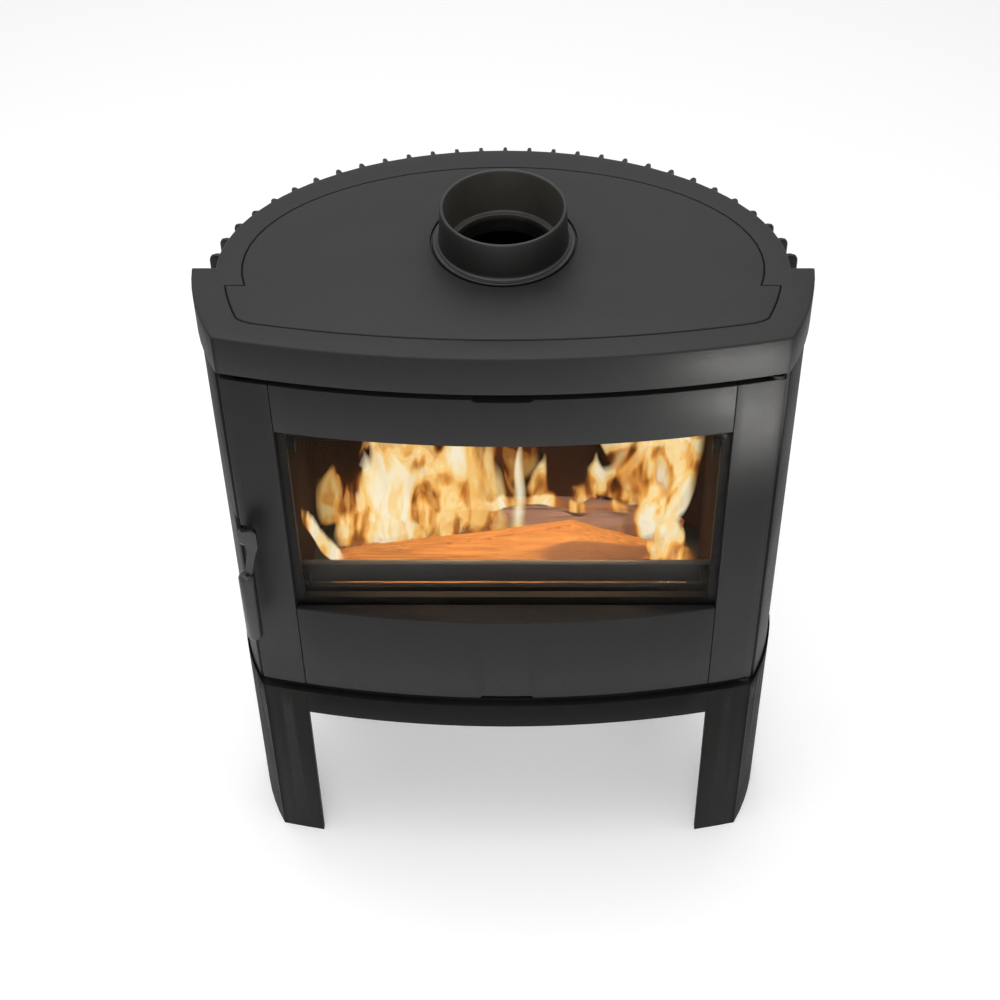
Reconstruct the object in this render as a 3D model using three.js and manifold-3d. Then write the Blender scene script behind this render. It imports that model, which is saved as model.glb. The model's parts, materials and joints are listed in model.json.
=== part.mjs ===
// Wide wood stove with a bowed front, a glazed cast door, flared cheeks and a finned rear shell.
// Millimetres, +Z up, front towards -Y. Plans are drawn with Y = 0 on the line of the front corners;
// the finished group is then centred on its box.
import * as THREE from 'three';
import { mergeVertices } from 'three/addons/utils/BufferGeometryUtils.js';
import Module from 'manifold-3d';

const wasm = await Module();
wasm.setup();

// Heights, stacked from the floor to the top plate
const legHeight = 277;
const bandHeight = 43.5;
const doorBottomGap = 14.5;
const doorHeight = 541;
const doorTopGap = 10;
const fasciaHeight = 54;

// Plan of the body
const earHalf = 366;           // half width at the ear tips
const earFlare = 36;           // front corners inside the ear tips
const earStep = 28;            // rounded back inside the ear tips
const earBackY = 126;          // rear face of the ears
const frontBow = 38;           // how far the front arc stands out
const sideBulge = 7.5;         // how far a side arc stands out of its chord
const backCentreY = 128;       // the rounded back, half an ellipse
const backReach = 231;

// Walls and clearances
const seat = 0.3;              // gap between pieces that rest on each other
const castWall = 9;
const cheekInset = 3;
const cheekWall = 6;
const sheetWall = 5;
const edgeRound = 3;

// Base
const legWidth = 59;           // a front leg's share of the front arc
const legSideShort = 10;       // front leg's side wall ends this far before the ear's rear face
const bandFlangeThickness = 7.5;
const bandFlangeWidth = 24;
const rearLegFrom = 29;        // degrees round the back
const rearLegTo = 59;
const basePlateThickness = 6;

// Top casting and inset cover
const skirtWall = 12;
const rimThickness = 14;
const rearEdge = 5.7;          // height of the rim's rear edge
const coverFrontBorder = 34;
const coverSideBorder = 38.5;
const coverSideMargin = 31;
const coverRearMargin = 40;
const coverCentreShift = 4;
const coverStepBack = 33;      // step of the cover before the ears' rear face
const coverJoint = 0.7;        // gap at the foot of the groove
const grooveChamfer = 1.3;
const coverThickness = 10;
const coverLedge = 14;

// Flue collar
const collarY = 177;
const collarRadius = 75;
const collarDraft = 2.5;
const collarHeight = 50;
const collarWall = 4.5;
const collarStopDepth = 60;
const collarStopWidth = 8;
const collarHubWall = 3.5;     // hub outside the collar
const collarHubDepth = 17;     // hub below the top plate
const collarFlangeWidth = 10;
const flangeGap = 3;
const flangeThickness = 6;
const flangeProud = 2;
const collarBossWall = 10;
const flueRingWall = 7;

// Finned rear shell
const finCount = 29;
const finThickness = 5.5;
const finSideReach = 15;       // fin tips outside the rim, beside the ears
const finRearReach = 11;       // and at the middle of the back
const finCrown = 9;            // height of the rounded upper corner of a fin
const shellWall = 6.5;
const shellDrop = 6;           // top of the shell below the top plate
const rearLip = 7;             // overhang of the rim on the rear shell

// Door
const doorInset = 2.5;
const doorSideGap = 2;
const stileWidth = 57.5;
const seamGap = 0.6;
const topRailHeight = 74;
const bottomRailHeight = 152;
const railWeb = 8;             // upper and lower webs of the hollow rails
const glassPlaneY = -2;
const glassThickness = 4;
const glassLap = 8;
const doorFrameThickness = 10;
const doorFrameInset = 20;     // frame's sides inside the door's sides
const doorFrameBorder = 12;
const stileBackY = 10;
const notchHalf = 36;
const notchDepth = 4;
const gasketThickness = 5.4;
const gasketWidth = 9;
const clipHeight = 18;
const clipThickness = 2;
const clipSetback = 40;        // clips from the upper and lower sight edges

// Hinge and latch
const hingeInset = 10;         // hinge axis inside the door's side
const hingeY = 5;
const hingePinRadius = 3;
const pinClearance = 0.5;
const hingePinInDoor = 22;
const bracketThickness = 4;
const bracketGap = 1.5;         // bracket to the door's edge
const leverInset = 1;
const leverThickness = 4.5;
const leverY = 6;
const leverRise = 278;         // lever axis above the door's lower edge
const leverPinRadius = 3.5;
const leverHead = 37;          // top of the lever above its axis
const leverCrank = 22;         // how far the lever steps in over the door
const neckWidth = 8;
const hookReach = 24;          // lever axis to keeper pin
const hookGap = 1;             // keeper pin to the front face of the hook's cam tooth
const armGap = 3.5;            // keeper pin to the arm under it
const armDepth = 8;
const camSlope = 35 * Math.PI / 180;  // tooth's front face, from the arm's upper edge
const camBackSlope = Math.PI / 4;
const camEngagement = 4;       // tooth above the lowest line of the keeper pin
const camCrest = 1.2;
const keeperRise = 6;          // keeper pin above the lever axis
const keeperRadius = 3;
const keeperFoot = 10;         // half height of the keeper's foot
const slotBelow = 23;          // slot below and above the lever axis
const slotAbove = 18;
const gripInset = 3;
const gripY = -25;
const gripRadius = 10.5;
const gripLength = 119;
const gripDrop = 42;           // top of the grip below the lever axis

// Body and firebox
const frontFrameThickness = 8;
const frontFrameInset = 10;    // frame's sides inside the door's sides
const mouthInset = 8.5;        // firebox mouth inside the stile seams
const mouthLip = 28;           // casing outside the mouth
const mouthDrop = 2;           // mouth's upper edge below the sight edge
const casingBackGap = 69;
const casingChamfer = 90;
const casingTopGap = 21;
const linerThickness = 20;
const hearthRise = 88;         // hearth above the base plate
const hearthThickness = 15;
const grateHalf = 120;
const grateFrontY = 76;
const grateDepth = 150;
const grateBars = 9;
const grateRebate = 8;
const baffleDrop = 10;         // baffle's underside below the mouth's upper edge
const baffleThickness = 22;
const baffleSetback = 60;      // smoke path between the baffle and the front frame
const lipHeight = 77;
const barGap = 8;              // between ash lip and log retainer
const retainerHeight = 36;
const barThickness = 6;
const panSideMargin = 12;      // ash pan outside the grate
const panDepth = 190;
const panHeight = 46;
const panWall = 2;
const panLift = 18;            // pan's floor above the base plate

// Logs
const frontLogWidth = 94;
const frontLogHeight = 92;
const rearLogWidth = 62;
const rearLogHeight = 68;
const frontLogSetback = 30;    // centre lines behind the grate's front edge
const rearLogSetback = 112;

// Sides that follow
const cornerHalf = earHalf - earFlare;
const backHalf = earHalf - earStep;
const coverHalf = backHalf - coverSideMargin;
const coverReach = backReach - coverRearMargin;
const coverCentreY = backCentreY + coverCentreShift;
const coverStepY = earBackY - coverStepBack;
const doorHalf = cornerHalf - doorSideGap;
const stileSeam = doorHalf - stileWidth;
const doorFrameHalf = doorHalf - doorFrameInset;
const frontFrameHalf = doorHalf - frontFrameInset;
const hingeX = doorHalf - hingeInset;
const leverOuterX = doorHalf - leverInset;
const gripX = gripInset - doorHalf;
const fireHalf = stileSeam - mouthInset;
const casingHalf = fireHalf + mouthLip;
const casingBackY = backCentreY + backReach - casingBackGap;
const panHalf = grateHalf + panSideMargin;
const flangeRadius = collarRadius + collarFlangeWidth;
const collarHubRadius = collarRadius + collarHubWall;
const throatRadius = collarRadius - collarWall - collarStopWidth;

// Levels and planes that follow
const bandTopZ = legHeight + bandHeight;
const doorBottomZ = bandTopZ + doorBottomGap;
const doorTopZ = doorBottomZ + doorHeight;
const fasciaZ = doorTopZ + doorTopGap;
const topZ = fasciaZ + fasciaHeight;
const glassBottomZ = doorBottomZ + bottomRailHeight;
const glassTopZ = doorTopZ - topRailHeight;
const paneBackY = glassPlaneY + glassThickness;
const doorBackY = paneBackY + seat + doorFrameThickness;
const frontFrameY = doorBackY + gasketThickness + 2 * seat;
const frontFrameBackY = frontFrameY + frontFrameThickness;
const rimBottomZ = topZ - rimThickness;
const basePlateZ = bandTopZ + seat + basePlateThickness;
const fireTopZ = glassTopZ - mouthDrop;
const baffleZ = fireTopZ - baffleDrop;
const casingTopZ = rimBottomZ - casingTopGap;
const hearthZ = basePlateZ + hearthRise;
const lipTopZ = hearthZ + lipHeight;
const retainerBottomZ = lipTopZ + barGap;
const leverZ = doorBottomZ + leverRise;
const slotBottomZ = leverZ - slotBelow;
const slotTopZ = leverZ + slotAbove;
const gripTopZ = leverZ - gripDrop;

// Materials
const finishes = {
  iron: { color: 0x363636, roughness: 0.62, metalness: 0.25 },
  ironDark: { color: 0x1c1c1c, roughness: 0.7, metalness: 0.3 },
  steel: { color: 0x2a2a2a, roughness: 0.5, metalness: 0.6 },
  brightSteel: { color: 0x8c8c88, roughness: 0.35, metalness: 0.9 },
  glass: { color: 0x241a12, roughness: 0.05, metalness: 0, transparent: true, opacity: 0.35 },
  rope: { color: 0x4a4a46, roughness: 0.95, metalness: 0 },
  brick: { color: 0x6b4a30, roughness: 0.95, metalness: 0 },
  wood: { color: 0xb8672a, roughness: 0.85, metalness: 0 },
};

// Solid helpers
function toSolid(geometry) {
  const bare = geometry.clone();
  bare.deleteAttribute('normal');
  bare.deleteAttribute('uv');
  const merged = mergeVertices(bare, 1e-4);
  return new wasm.Manifold(new wasm.Mesh({
    numProp: 3,
    vertProperties: new Float32Array(merged.attributes.position.array),
    triVerts: new Uint32Array(merged.index.array),
  }));
}

function fromSolid(solid) {
  const mesh = solid.getMesh();
  const geometry = new THREE.BufferGeometry();
  geometry.setAttribute('position', new THREE.BufferAttribute(new Float32Array(mesh.vertProperties), 3));
  geometry.setIndex(new THREE.BufferAttribute(new Uint32Array(mesh.triVerts), 1));
  return geometry;
}

const join = (...parts) => fromSolid(parts.map(toSolid).reduce((a, b) => a.add(b)));
const cut = (body, ...tools) => fromSolid(tools.map(toSolid).reduce((a, b) => a.subtract(b), toSolid(body)));

// A closed body through rings that have the same number of points and climb in Z
function loft(rings) {
  const count = rings[0].points.length;
  const positions = [];
  for (const ring of rings) {
    for (const p of ring.points) positions.push(p.x, p.y, ring.z);
  }
  const index = [];
  for (let level = 0; level < rings.length - 1; level++) {
    for (let i = 0; i < count; i++) {
      const a = level * count + i;
      const b = level * count + (i + 1) % count;
      index.push(a, b, b + count, a, b + count, a + count);
    }
  }
  const last = (rings.length - 1) * count;
  for (const [a, b, c] of THREE.ShapeUtils.triangulateShape(rings[0].points, [])) index.push(a, c, b);
  for (const [a, b, c] of THREE.ShapeUtils.triangulateShape(rings.at(-1).points, [])) {
    index.push(last + a, last + b, last + c);
  }
  const geometry = new THREE.BufferGeometry();
  geometry.setAttribute('position', new THREE.Float32BufferAttribute(positions, 3));
  geometry.setIndex(index);
  return geometry;
}

const prism = (points, z0, z1) => loft([{ points, z: z0 }, { points, z: z1 }]);

// A prism whose top edge is rounded; outline(inset) gives its plan
function roundedPrism(outline, z0, z1, radius, inset = 0) {
  const bend = [0, 30, 60, 90].map((degrees) => THREE.MathUtils.degToRad(degrees));
  return loft([
    { points: outline(inset), z: z0 },
    ...bend.map((angle) => ({
      points: outline(inset + radius * (1 - Math.cos(angle))),
      z: z1 - radius * (1 - Math.sin(angle)),
    })),
  ]);
}

function box(x0, x1, y0, y1, z0, z1) {
  const geometry = new THREE.BoxGeometry(x1 - x0, y1 - y0, z1 - z0);
  return geometry.translate((x0 + x1) / 2, (y0 + y1) / 2, (z0 + z1) / 2);
}

function rod(radius, length, axis, at, sides = 24) {
  const geometry = new THREE.CylinderGeometry(radius, radius, length, sides);
  if (axis === 'x') geometry.rotateZ(-Math.PI / 2);
  if (axis === 'z') geometry.rotateX(Math.PI / 2);
  return geometry.translate(at.x, at.y, at.z);
}

function turned(profile, at, segments = 48) {
  const points = profile.map(([r, z]) => new THREE.Vector2(r, z));
  const geometry = new THREE.LatheGeometry([...points, points[0]], segments);
  return geometry.rotateX(Math.PI / 2).translate(at.x, at.y, at.z);
}

// Plan curves
const frontRadius = (cornerHalf ** 2 + frontBow ** 2) / (2 * frontBow);
const frontCentreY = frontRadius - frontBow;
const sideChord = Math.hypot(earFlare, earBackY);
const sideRadius = sideChord ** 2 / (8 * sideBulge) + sideBulge / 2;
const sideCentreX = cornerHalf + earFlare / 2 - (sideRadius - sideBulge) * earBackY / sideChord;
const sideCentreY = earBackY / 2 + (sideRadius - sideBulge) * earFlare / sideChord;

const frontY = (x, inset) => frontCentreY - Math.sqrt((frontRadius - inset) ** 2 - x ** 2);
const sideX = (y, inset) => sideCentreX + Math.sqrt((sideRadius - inset) ** 2 - (y - sideCentreY) ** 2);

// Where the inset front arc meets the inset side arc
function cornerAt(frontInset, sideInset) {
  let y = 0;
  for (let pass = 0; pass < 40; pass++) y = frontY(sideX(y, sideInset), frontInset);
  return new THREE.Vector2(sideX(y, sideInset), y);
}

function spread(from, to, steps) {
  return Array.from({ length: steps + 1 }, (_, i) => from + (to - from) * i / steps);
}

const frontCurve = (x0, x1, inset, steps) =>
  spread(x0, x1, steps).map((x) => new THREE.Vector2(x, frontY(x, inset)));
const sideCurve = (y0, y1, inset, steps) =>
  spread(y0, y1, steps).map((y) => new THREE.Vector2(sideX(y, inset), y));
const mirrored = (points) => points.map((p) => new THREE.Vector2(-p.x, p.y)).reverse();

const backPoint = (angle, inset) => new THREE.Vector2(
  (backHalf - inset) * Math.cos(angle),
  backCentreY + (backReach - inset) * Math.sin(angle),
);
const backAngleAt = (y, inset) => Math.asin((y - backCentreY) / (backReach - inset));

// Whole plan of the body: bowed front, flared ears, rounded back
function bodyPlan(inset) {
  const corner = cornerAt(inset, inset);
  const stepY = earBackY - inset;
  const side = sideCurve(corner.y, stepY, inset, 7);
  const start = backAngleAt(stepY, inset);
  const back = spread(start, Math.PI - start, 44).map((angle) => backPoint(angle, inset));
  return [
    ...frontCurve(-corner.x, corner.x, inset, 22).slice(1, -1),
    ...side,
    ...back,
    ...mirrored(side),
  ];
}

// Plan of the inset cover in the top
function coverPlan(inset) {
  const corner = cornerAt(coverFrontBorder + inset, coverSideBorder + inset);
  const stepY = coverStepY - inset;
  const side = sideCurve(corner.y + 6, stepY, coverSideBorder + inset, 4);
  const nose = [new THREE.Vector2(corner.x - 3, corner.y + 1.5)];
  const a = coverHalf - inset;
  const b = coverReach - inset;
  const start = Math.asin((stepY - coverCentreY) / b);
  const back = spread(start, Math.PI - start, 36).map(
    (angle) => new THREE.Vector2(a * Math.cos(angle), coverCentreY + b * Math.sin(angle)),
  );
  const lead = corner.x - 14;
  const front = frontCurve(-lead, lead, coverFrontBorder + inset, 16);
  return [...front, ...nose, ...side, ...back, ...mirrored(side), ...mirrored(nose)];
}

// A bar that follows the back, and a piece for the other side
const backBar = (a0, a1, outer, inner, z0, z1, steps) => prism(
  [...spread(a0, a1, steps).map((a) => backPoint(a, outer)),
    ...spread(a1, a0, steps).map((a) => backPoint(a, inner))], z0, z1,
);
const flip = (geometry) => {
  const turnedOver = geometry.clone().scale(-1, 1, 1);
  const index = turnedOver.index.array;
  for (let i = 0; i < index.length; i += 3) [index[i], index[i + 1]] = [index[i + 1], index[i]];
  return turnedOver;
};

const stove = new THREE.Group();

function add(name, geometry, finish) {
  const mesh = new THREE.Mesh(geometry, new THREE.MeshStandardMaterial(finishes[finish]));
  mesh.name = name;
  stove.add(mesh);
}

// Base: band with inward flange and two front legs in one casting, two bolted rear legs
function addBase() {
  const flangeZ = bandTopZ - bandFlangeThickness;
  const ring = cut(
    prism(bodyPlan(0), legHeight, bandTopZ),
    prism(bodyPlan(castWall), legHeight - 1, flangeZ),
    prism(bodyPlan(bandFlangeWidth), flangeZ - 1, bandTopZ + 1),
  );
  const legInner = cornerHalf - legWidth;
  const legReachY = earBackY - legSideShort;
  const corner = cornerAt(0, 0);
  const inner = cornerAt(castWall, castWall);
  const legPlan = [
    ...frontCurve(legInner, corner.x, 0, 3).slice(0, -1),
    ...sideCurve(corner.y, legReachY, 0, 6),
    ...sideCurve(legReachY, inner.y, castWall, 6),
    ...frontCurve(inner.x, legInner, castWall, 3).slice(1),
  ];
  const leg = prism(legPlan, 0, flangeZ + 2);
  add('base_frame', join(ring, leg, flip(leg)), 'iron');

  const [from, to] = [rearLegFrom, rearLegTo].map((degrees) => THREE.MathUtils.degToRad(degrees));
  const legOuter = castWall + seat;
  const rearLeg = backBar(from, to, legOuter, legOuter + castWall, 0, flangeZ - seat, 8);
  add('rear_leg_right', rearLeg, 'iron');
  add('rear_leg_left', flip(rearLeg), 'iron');

  const plateInset = cheekInset + cheekWall + 2 * seat;
  const plateBackY = earBackY - cheekInset - cheekWall - seat;
  const plateCorner = cornerAt(castWall + seat, plateInset);
  const plateSide = [
    ...sideCurve(plateCorner.y, plateBackY, plateInset, 6),
    ...casingPlan(0, plateBackY).slice(0, 3),
  ];
  const platePlan = [
    ...frontCurve(-plateCorner.x, plateCorner.x, castWall + seat, 16).slice(1, -1),
    ...plateSide,
    ...mirrored(plateSide),
  ];
  add('base_plate', prism(platePlan, bandTopZ + seat, basePlateZ), 'ironDark');
}

// Cheeks: flared side castings with a return flange at the rear
function addCheeks() {
  const outer = cheekInset;
  const inner = cheekInset + cheekWall;
  const startY = stileBackY + 4;
  const plan = [
    ...sideCurve(startY, earBackY - outer, outer, 8),
    new THREE.Vector2(casingHalf + 2 * seat, earBackY - outer),
    new THREE.Vector2(casingHalf + 2 * seat, earBackY - inner),
    ...sideCurve(earBackY - inner, startY, inner, 8),
  ];
  const cheek = prism(plan, bandTopZ + seat, fasciaZ - seat);
  const pocketX = -leverOuterX + leverThickness + 2;
  const pocket = box(-leverOuterX - 12, pocketX, 0, startY + 9, slotBottomZ, slotTopZ);
  add('cheek_right', cheek, 'iron');
  add('cheek_left', cut(flip(cheek), pocket), 'iron');
}

// Rear shell: one casting with upright fins along the back curve, each with a rounded upper corner
function addRearShell() {
  const zBottom = bandTopZ + seat;
  const zTop = topZ - shellDrop;
  const start = backAngleAt(earBackY + seat, shellWall);
  const samples = 720;
  const angles = spread(start, Math.PI - start, samples);
  const lengths = [0];
  for (let i = 1; i <= samples; i++) {
    lengths.push(lengths[i - 1] + backPoint(angles[i], 0).distanceTo(backPoint(angles[i - 1], 0)));
  }
  const pitch = lengths[samples] / (finCount + 1);
  const angleAt = (s) => {
    const i = Math.min(samples, Math.max(1, lengths.findIndex((length) => length >= s)));
    const t = (s - lengths[i - 1]) / (lengths[i] - lengths[i - 1]);
    return angles[i - 1] + t * (angles[i] - angles[i - 1]);
  };
  const outward = (s, share) => {
    const angle = angleAt(s);
    const reach = finSideReach + (finRearReach - finSideReach) * Math.sin(angle);
    const normal = new THREE.Vector2(Math.cos(angle) / backHalf, Math.sin(angle) / backReach).normalize();
    return backPoint(angle, 0).add(normal.multiplyScalar(share * reach));
  };
  const finProfile = [
    [-0.62, 0], [-0.46, 0.15], [-0.4, 0.86], [-0.2, 1], [0.2, 1], [0.4, 0.86], [0.46, 0.15], [0.62, 0],
  ];
  const outline = (share) => {
    const points = [backPoint(start, 0)];
    for (let fin = 1; fin <= finCount; fin++) {
      for (const [across, up] of finProfile) {
        points.push(outward(fin * pitch + across * finThickness, up * share));
      }
    }
    points.push(backPoint(Math.PI - start, 0));
    return [...points, ...spread(Math.PI - start, start, 44).map((angle) => backPoint(angle, shellWall))];
  };
  const crown = [1, 0.95, 0.8, 0.45].map((share, i) => ({
    points: outline(share),
    z: zTop - finCrown * [1, 0.6, 0.22, 0][i],
  }));
  add('rear_shell', loft([{ points: outline(1), z: zBottom }, ...crown]), 'iron');
}

// Top: rim casting with fascia and ears, inset cover, flue collar
function addTop() {
  const far = 420;
  const body = roundedPrism(bodyPlan, fasciaZ, topZ, edgeRound);
  const rearCut = cut(
    box(-far, far, earBackY, far, rimBottomZ - 1, topZ - rearEdge),
    prism(bodyPlan(rearLip), rimBottomZ - 2, topZ),
  );
  const rim = cut(
    body,
    prism(bodyPlan(skirtWall), fasciaZ - 1, rimBottomZ),
    box(-backHalf, backHalf, earBackY - skirtWall, far, fasciaZ - 1, rimBottomZ),
    box(-far, far, earBackY, far, fasciaZ - 1, rimBottomZ),
    rearCut,
    loft([
      { points: coverPlan(-coverJoint / 2), z: topZ - coverThickness },
      { points: coverPlan(-coverJoint / 2), z: topZ - grooveChamfer },
      { points: coverPlan(-coverJoint / 2 - 2 * grooveChamfer), z: topZ + grooveChamfer },
    ]),
    prism(coverPlan(coverLedge), rimBottomZ - 1, topZ),
  );
  add('top_rim', rim, 'iron');

  const collarAt = new THREE.Vector3(0, collarY, 0);
  const boreRadius = flangeRadius + flangeGap;
  const flangeBottomZ = topZ + flangeProud - flangeThickness;
  const bossZ = topZ - coverThickness - 4;
  const plate = loft([
    { points: coverPlan(coverJoint / 2), z: topZ - coverThickness + seat },
    { points: coverPlan(coverJoint / 2), z: topZ - grooveChamfer },
    { points: coverPlan(coverJoint / 2 + grooveChamfer), z: topZ },
  ]);
  const bossAt = { x: 0, y: collarY, z: bossZ + 6 };
  const boss = rod(boreRadius + collarBossWall, coverThickness + 2, 'z', bossAt, 56);
  add('top_plate', cut(
    join(plate, boss),
    rod(boreRadius, 20, 'z', { x: 0, y: collarY, z: flangeBottomZ - seat + 10 }, 56),
    rod(collarHubRadius + 2 * seat, 60, 'z', { x: 0, y: collarY, z: topZ }, 56),
  ), 'iron');

  const rimZ = topZ + collarHeight;
  const inside = collarRadius - collarWall;
  const collar = turned([
    [throatRadius, topZ - collarHubDepth],
    [collarHubRadius, topZ - collarHubDepth],
    [collarHubRadius, flangeBottomZ],
    [flangeRadius, flangeBottomZ],
    [flangeRadius, topZ + 0.4],
    [flangeRadius - 0.8, topZ + 1.2],
    [flangeRadius - 4, topZ + 1.2],
    [flangeRadius - 4.2, topZ + 2.6],
    [flangeRadius - 5, topZ + 3.2],
    [collarRadius + collarDraft + 0.8, topZ + 4],
    [collarRadius + collarDraft, topZ + 7],
    [collarRadius, rimZ - 2.2],
    [collarRadius - 0.8, rimZ - 0.6],
    [collarRadius - collarWall / 2, rimZ],
    [inside + 0.7, rimZ - 0.6],
    [inside, rimZ - 2.2],
    [inside, rimZ - collarStopDepth + 2],
    [inside - 1.2, rimZ - collarStopDepth],
    [throatRadius, rimZ - collarStopDepth],
  ], collarAt, 56);
  add('flue_collar', collar, 'ironDark');

  const ringTopZ = topZ - collarHubDepth - seat;
  const ringBottomZ = casingTopZ + sheetWall + 2 * seat;
  add('flue_ring', turned([
    [throatRadius, ringBottomZ],
    [throatRadius + flueRingWall, ringBottomZ],
    [throatRadius + flueRingWall, ringTopZ],
    [throatRadius, ringTopZ],
  ], collarAt, 40), 'steel');
}

// Casing: steel U with chamfered rear corners, closed by a top with the flue hole
function casingPlan(inset, frontAt) {
  const half = casingHalf - inset;
  const back = casingBackY - inset;
  const turn = casingChamfer - inset * 0.6;
  const right = [
    new THREE.Vector2(half, frontAt),
    new THREE.Vector2(half, back - turn),
    new THREE.Vector2(half - turn, back),
  ];
  return [...right, ...mirrored(right)];
}

function addFirebox() {
  const casingFrontY = frontFrameBackY + seat;
  const mouth = box(-fireHalf, fireHalf, frontFrameY - 1, frontFrameBackY + 1, basePlateZ + 16, fireTopZ);
  const frontPlate = box(
    -frontFrameHalf, frontFrameHalf, frontFrameY, frontFrameBackY, basePlateZ + seat, rimBottomZ - seat,
  );
  add('front_frame', cut(frontPlate, mouth), 'ironDark');
  add('firebox_casing', prism(
    [...casingPlan(0, casingFrontY), ...casingPlan(sheetWall, casingFrontY).reverse()],
    basePlateZ + seat, casingTopZ,
  ), 'steel');
  add('firebox_top', cut(
    prism(casingPlan(0, casingFrontY), casingTopZ + seat, casingTopZ + seat + sheetWall),
    rod(throatRadius, 30, 'z', { x: 0, y: collarY, z: casingTopZ }, 40),
  ), 'steel');

  const inset = sheetWall + seat;
  const hearthPlan = casingPlan(inset, casingFrontY + 1);
  const grateBackY = grateFrontY + grateDepth;
  add('hearth', cut(
    prism(hearthPlan, hearthZ - hearthThickness, hearthZ),
    box(-grateHalf, grateHalf, grateFrontY, grateBackY, hearthZ - hearthThickness - 1, hearthZ + 1),
    box(
      -grateHalf - grateRebate, grateHalf + grateRebate,
      grateFrontY - grateRebate, grateBackY + grateRebate, hearthZ - 8, hearthZ + 1,
    ),
  ), 'ironDark');

  const grateBody = box(
    -grateHalf - grateRebate + 1, grateHalf + grateRebate - 1,
    grateFrontY - grateRebate + 1, grateBackY + grateRebate - 1, hearthZ - 8 + seat, hearthZ + 2,
  );
  const barPitch = 2 * grateHalf / grateBars;
  const slots = spread(0, grateBars - 1, grateBars - 1).map((i) => {
    const x = -grateHalf + (i + 0.5) * barPitch;
    return box(x - 6, x + 6, grateFrontY + 4, grateBackY - 4, hearthZ - 10, hearthZ + 3);
  });
  add('grate', cut(grateBody, ...slots), 'ironDark');

  const chamberHalf = panHalf + 8;
  const innerHalf = chamberHalf - 3;
  const chamberTop = hearthZ - hearthThickness - seat;
  const chamberFrontY = frontFrameBackY + 4;
  const chamberBackY = chamberFrontY + panDepth + 10;
  add('ash_chamber', cut(
    box(-chamberHalf, chamberHalf, chamberFrontY, chamberBackY, basePlateZ + seat, chamberTop),
    box(-innerHalf, innerHalf, chamberFrontY - 1, chamberBackY - 3, basePlateZ + panLift, chamberTop + 1),
    box(-innerHalf, innerHalf, chamberFrontY - 1, chamberBackY + 1, basePlateZ, basePlateZ + panLift - 4),
  ), 'steel');
  const panZ = basePlateZ + panLift + seat;
  const panFrontY = chamberFrontY + 2;
  const panBackY = panFrontY + panDepth;
  const panInner = panHalf - panWall;
  add('ash_pan', cut(
    box(-panHalf, panHalf, panFrontY, panBackY, panZ, panZ + panHeight),
    box(-panInner, panInner, panFrontY + panWall, panBackY - panWall, panZ + panWall, panZ + panHeight + 1),
  ), 'steel');

  const linerZ = hearthZ + seat;
  const linerTop = baffleZ - seat;
  const linerOuter = casingHalf - sheetWall - seat;
  const linerBackY = casingBackY - sheetWall - seat;
  const sideDepth = linerBackY - casingChamfer - 4;
  const linerInner = linerOuter - linerThickness;
  const linerFrontY = frontFrameBackY + barThickness + 3;
  const sideLiner = box(linerInner, linerOuter, linerFrontY, sideDepth, linerZ, linerTop);
  add('liner_right', sideLiner, 'brick');
  add('liner_left', sideLiner.clone().translate(linerThickness - 2 * linerOuter, 0, 0), 'brick');
  const cornerPlan = [
    new THREE.Vector2(linerOuter - 1, sideDepth + 4),
    new THREE.Vector2(linerOuter - casingChamfer + 3, linerBackY - 1),
    new THREE.Vector2(linerOuter - casingChamfer - 11, linerBackY - 15),
    new THREE.Vector2(linerOuter - 15, sideDepth + 2),
  ];
  const cornerLiner = prism(cornerPlan, linerZ, linerTop);
  add('liner_corner_right', cornerLiner, 'brick');
  add('liner_corner_left', flip(cornerLiner), 'brick');
  const backHalfLiner = linerOuter - casingChamfer - 12;
  const backFrontY = linerBackY - linerThickness;
  add('liner_back', box(-backHalfLiner, backHalfLiner, backFrontY, linerBackY, linerZ, linerTop), 'brick');

  const bafflePlan = casingPlan(inset + 1, frontFrameBackY + baffleSetback);
  add('baffle', prism(bafflePlan, baffleZ, baffleZ + baffleThickness), 'brick');

  const barFrontY = frontFrameBackY + seat;
  const barHalf = fireHalf + 8;
  const barProfile = (z0, z1) => [
    new THREE.Vector2(barFrontY, z0),
    new THREE.Vector2(barFrontY + barThickness, z0),
    new THREE.Vector2(barFrontY + barThickness, z1),
    new THREE.Vector2(barFrontY + 3, z1),
    new THREE.Vector2(barFrontY, z1 - 3),
  ];
  add('ash_lip', alongX(barProfile(hearthZ + seat, lipTopZ), -barHalf, barHalf), 'ironDark');
  const retainerProfile = barProfile(retainerBottomZ, retainerBottomZ + retainerHeight);
  add('log_retainer', alongX(retainerProfile, -barHalf, barHalf), 'ironDark');
  const channelZ = fireTopZ + 4;
  add('airwash_channel', cut(
    box(-fireHalf + 6, fireHalf - 6, barFrontY, barFrontY + 26, channelZ, channelZ + 34),
    box(-fireHalf + 8, fireHalf - 8, barFrontY + 2, barFrontY + 24, channelZ - 1, channelZ + 32),
  ), 'steel');
}

// A YZ outline (x of the points is Y, y is Z) drawn out along X
function alongX(points, x0, x1) {
  const shape = new THREE.Shape(points);
  const geometry = new THREE.ExtrudeGeometry(shape, { depth: x1 - x0, bevelEnabled: false });
  geometry.rotateY(Math.PI / 2).rotateX(Math.PI / 2);
  return geometry.translate(x0, 0, 0);
}

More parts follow.
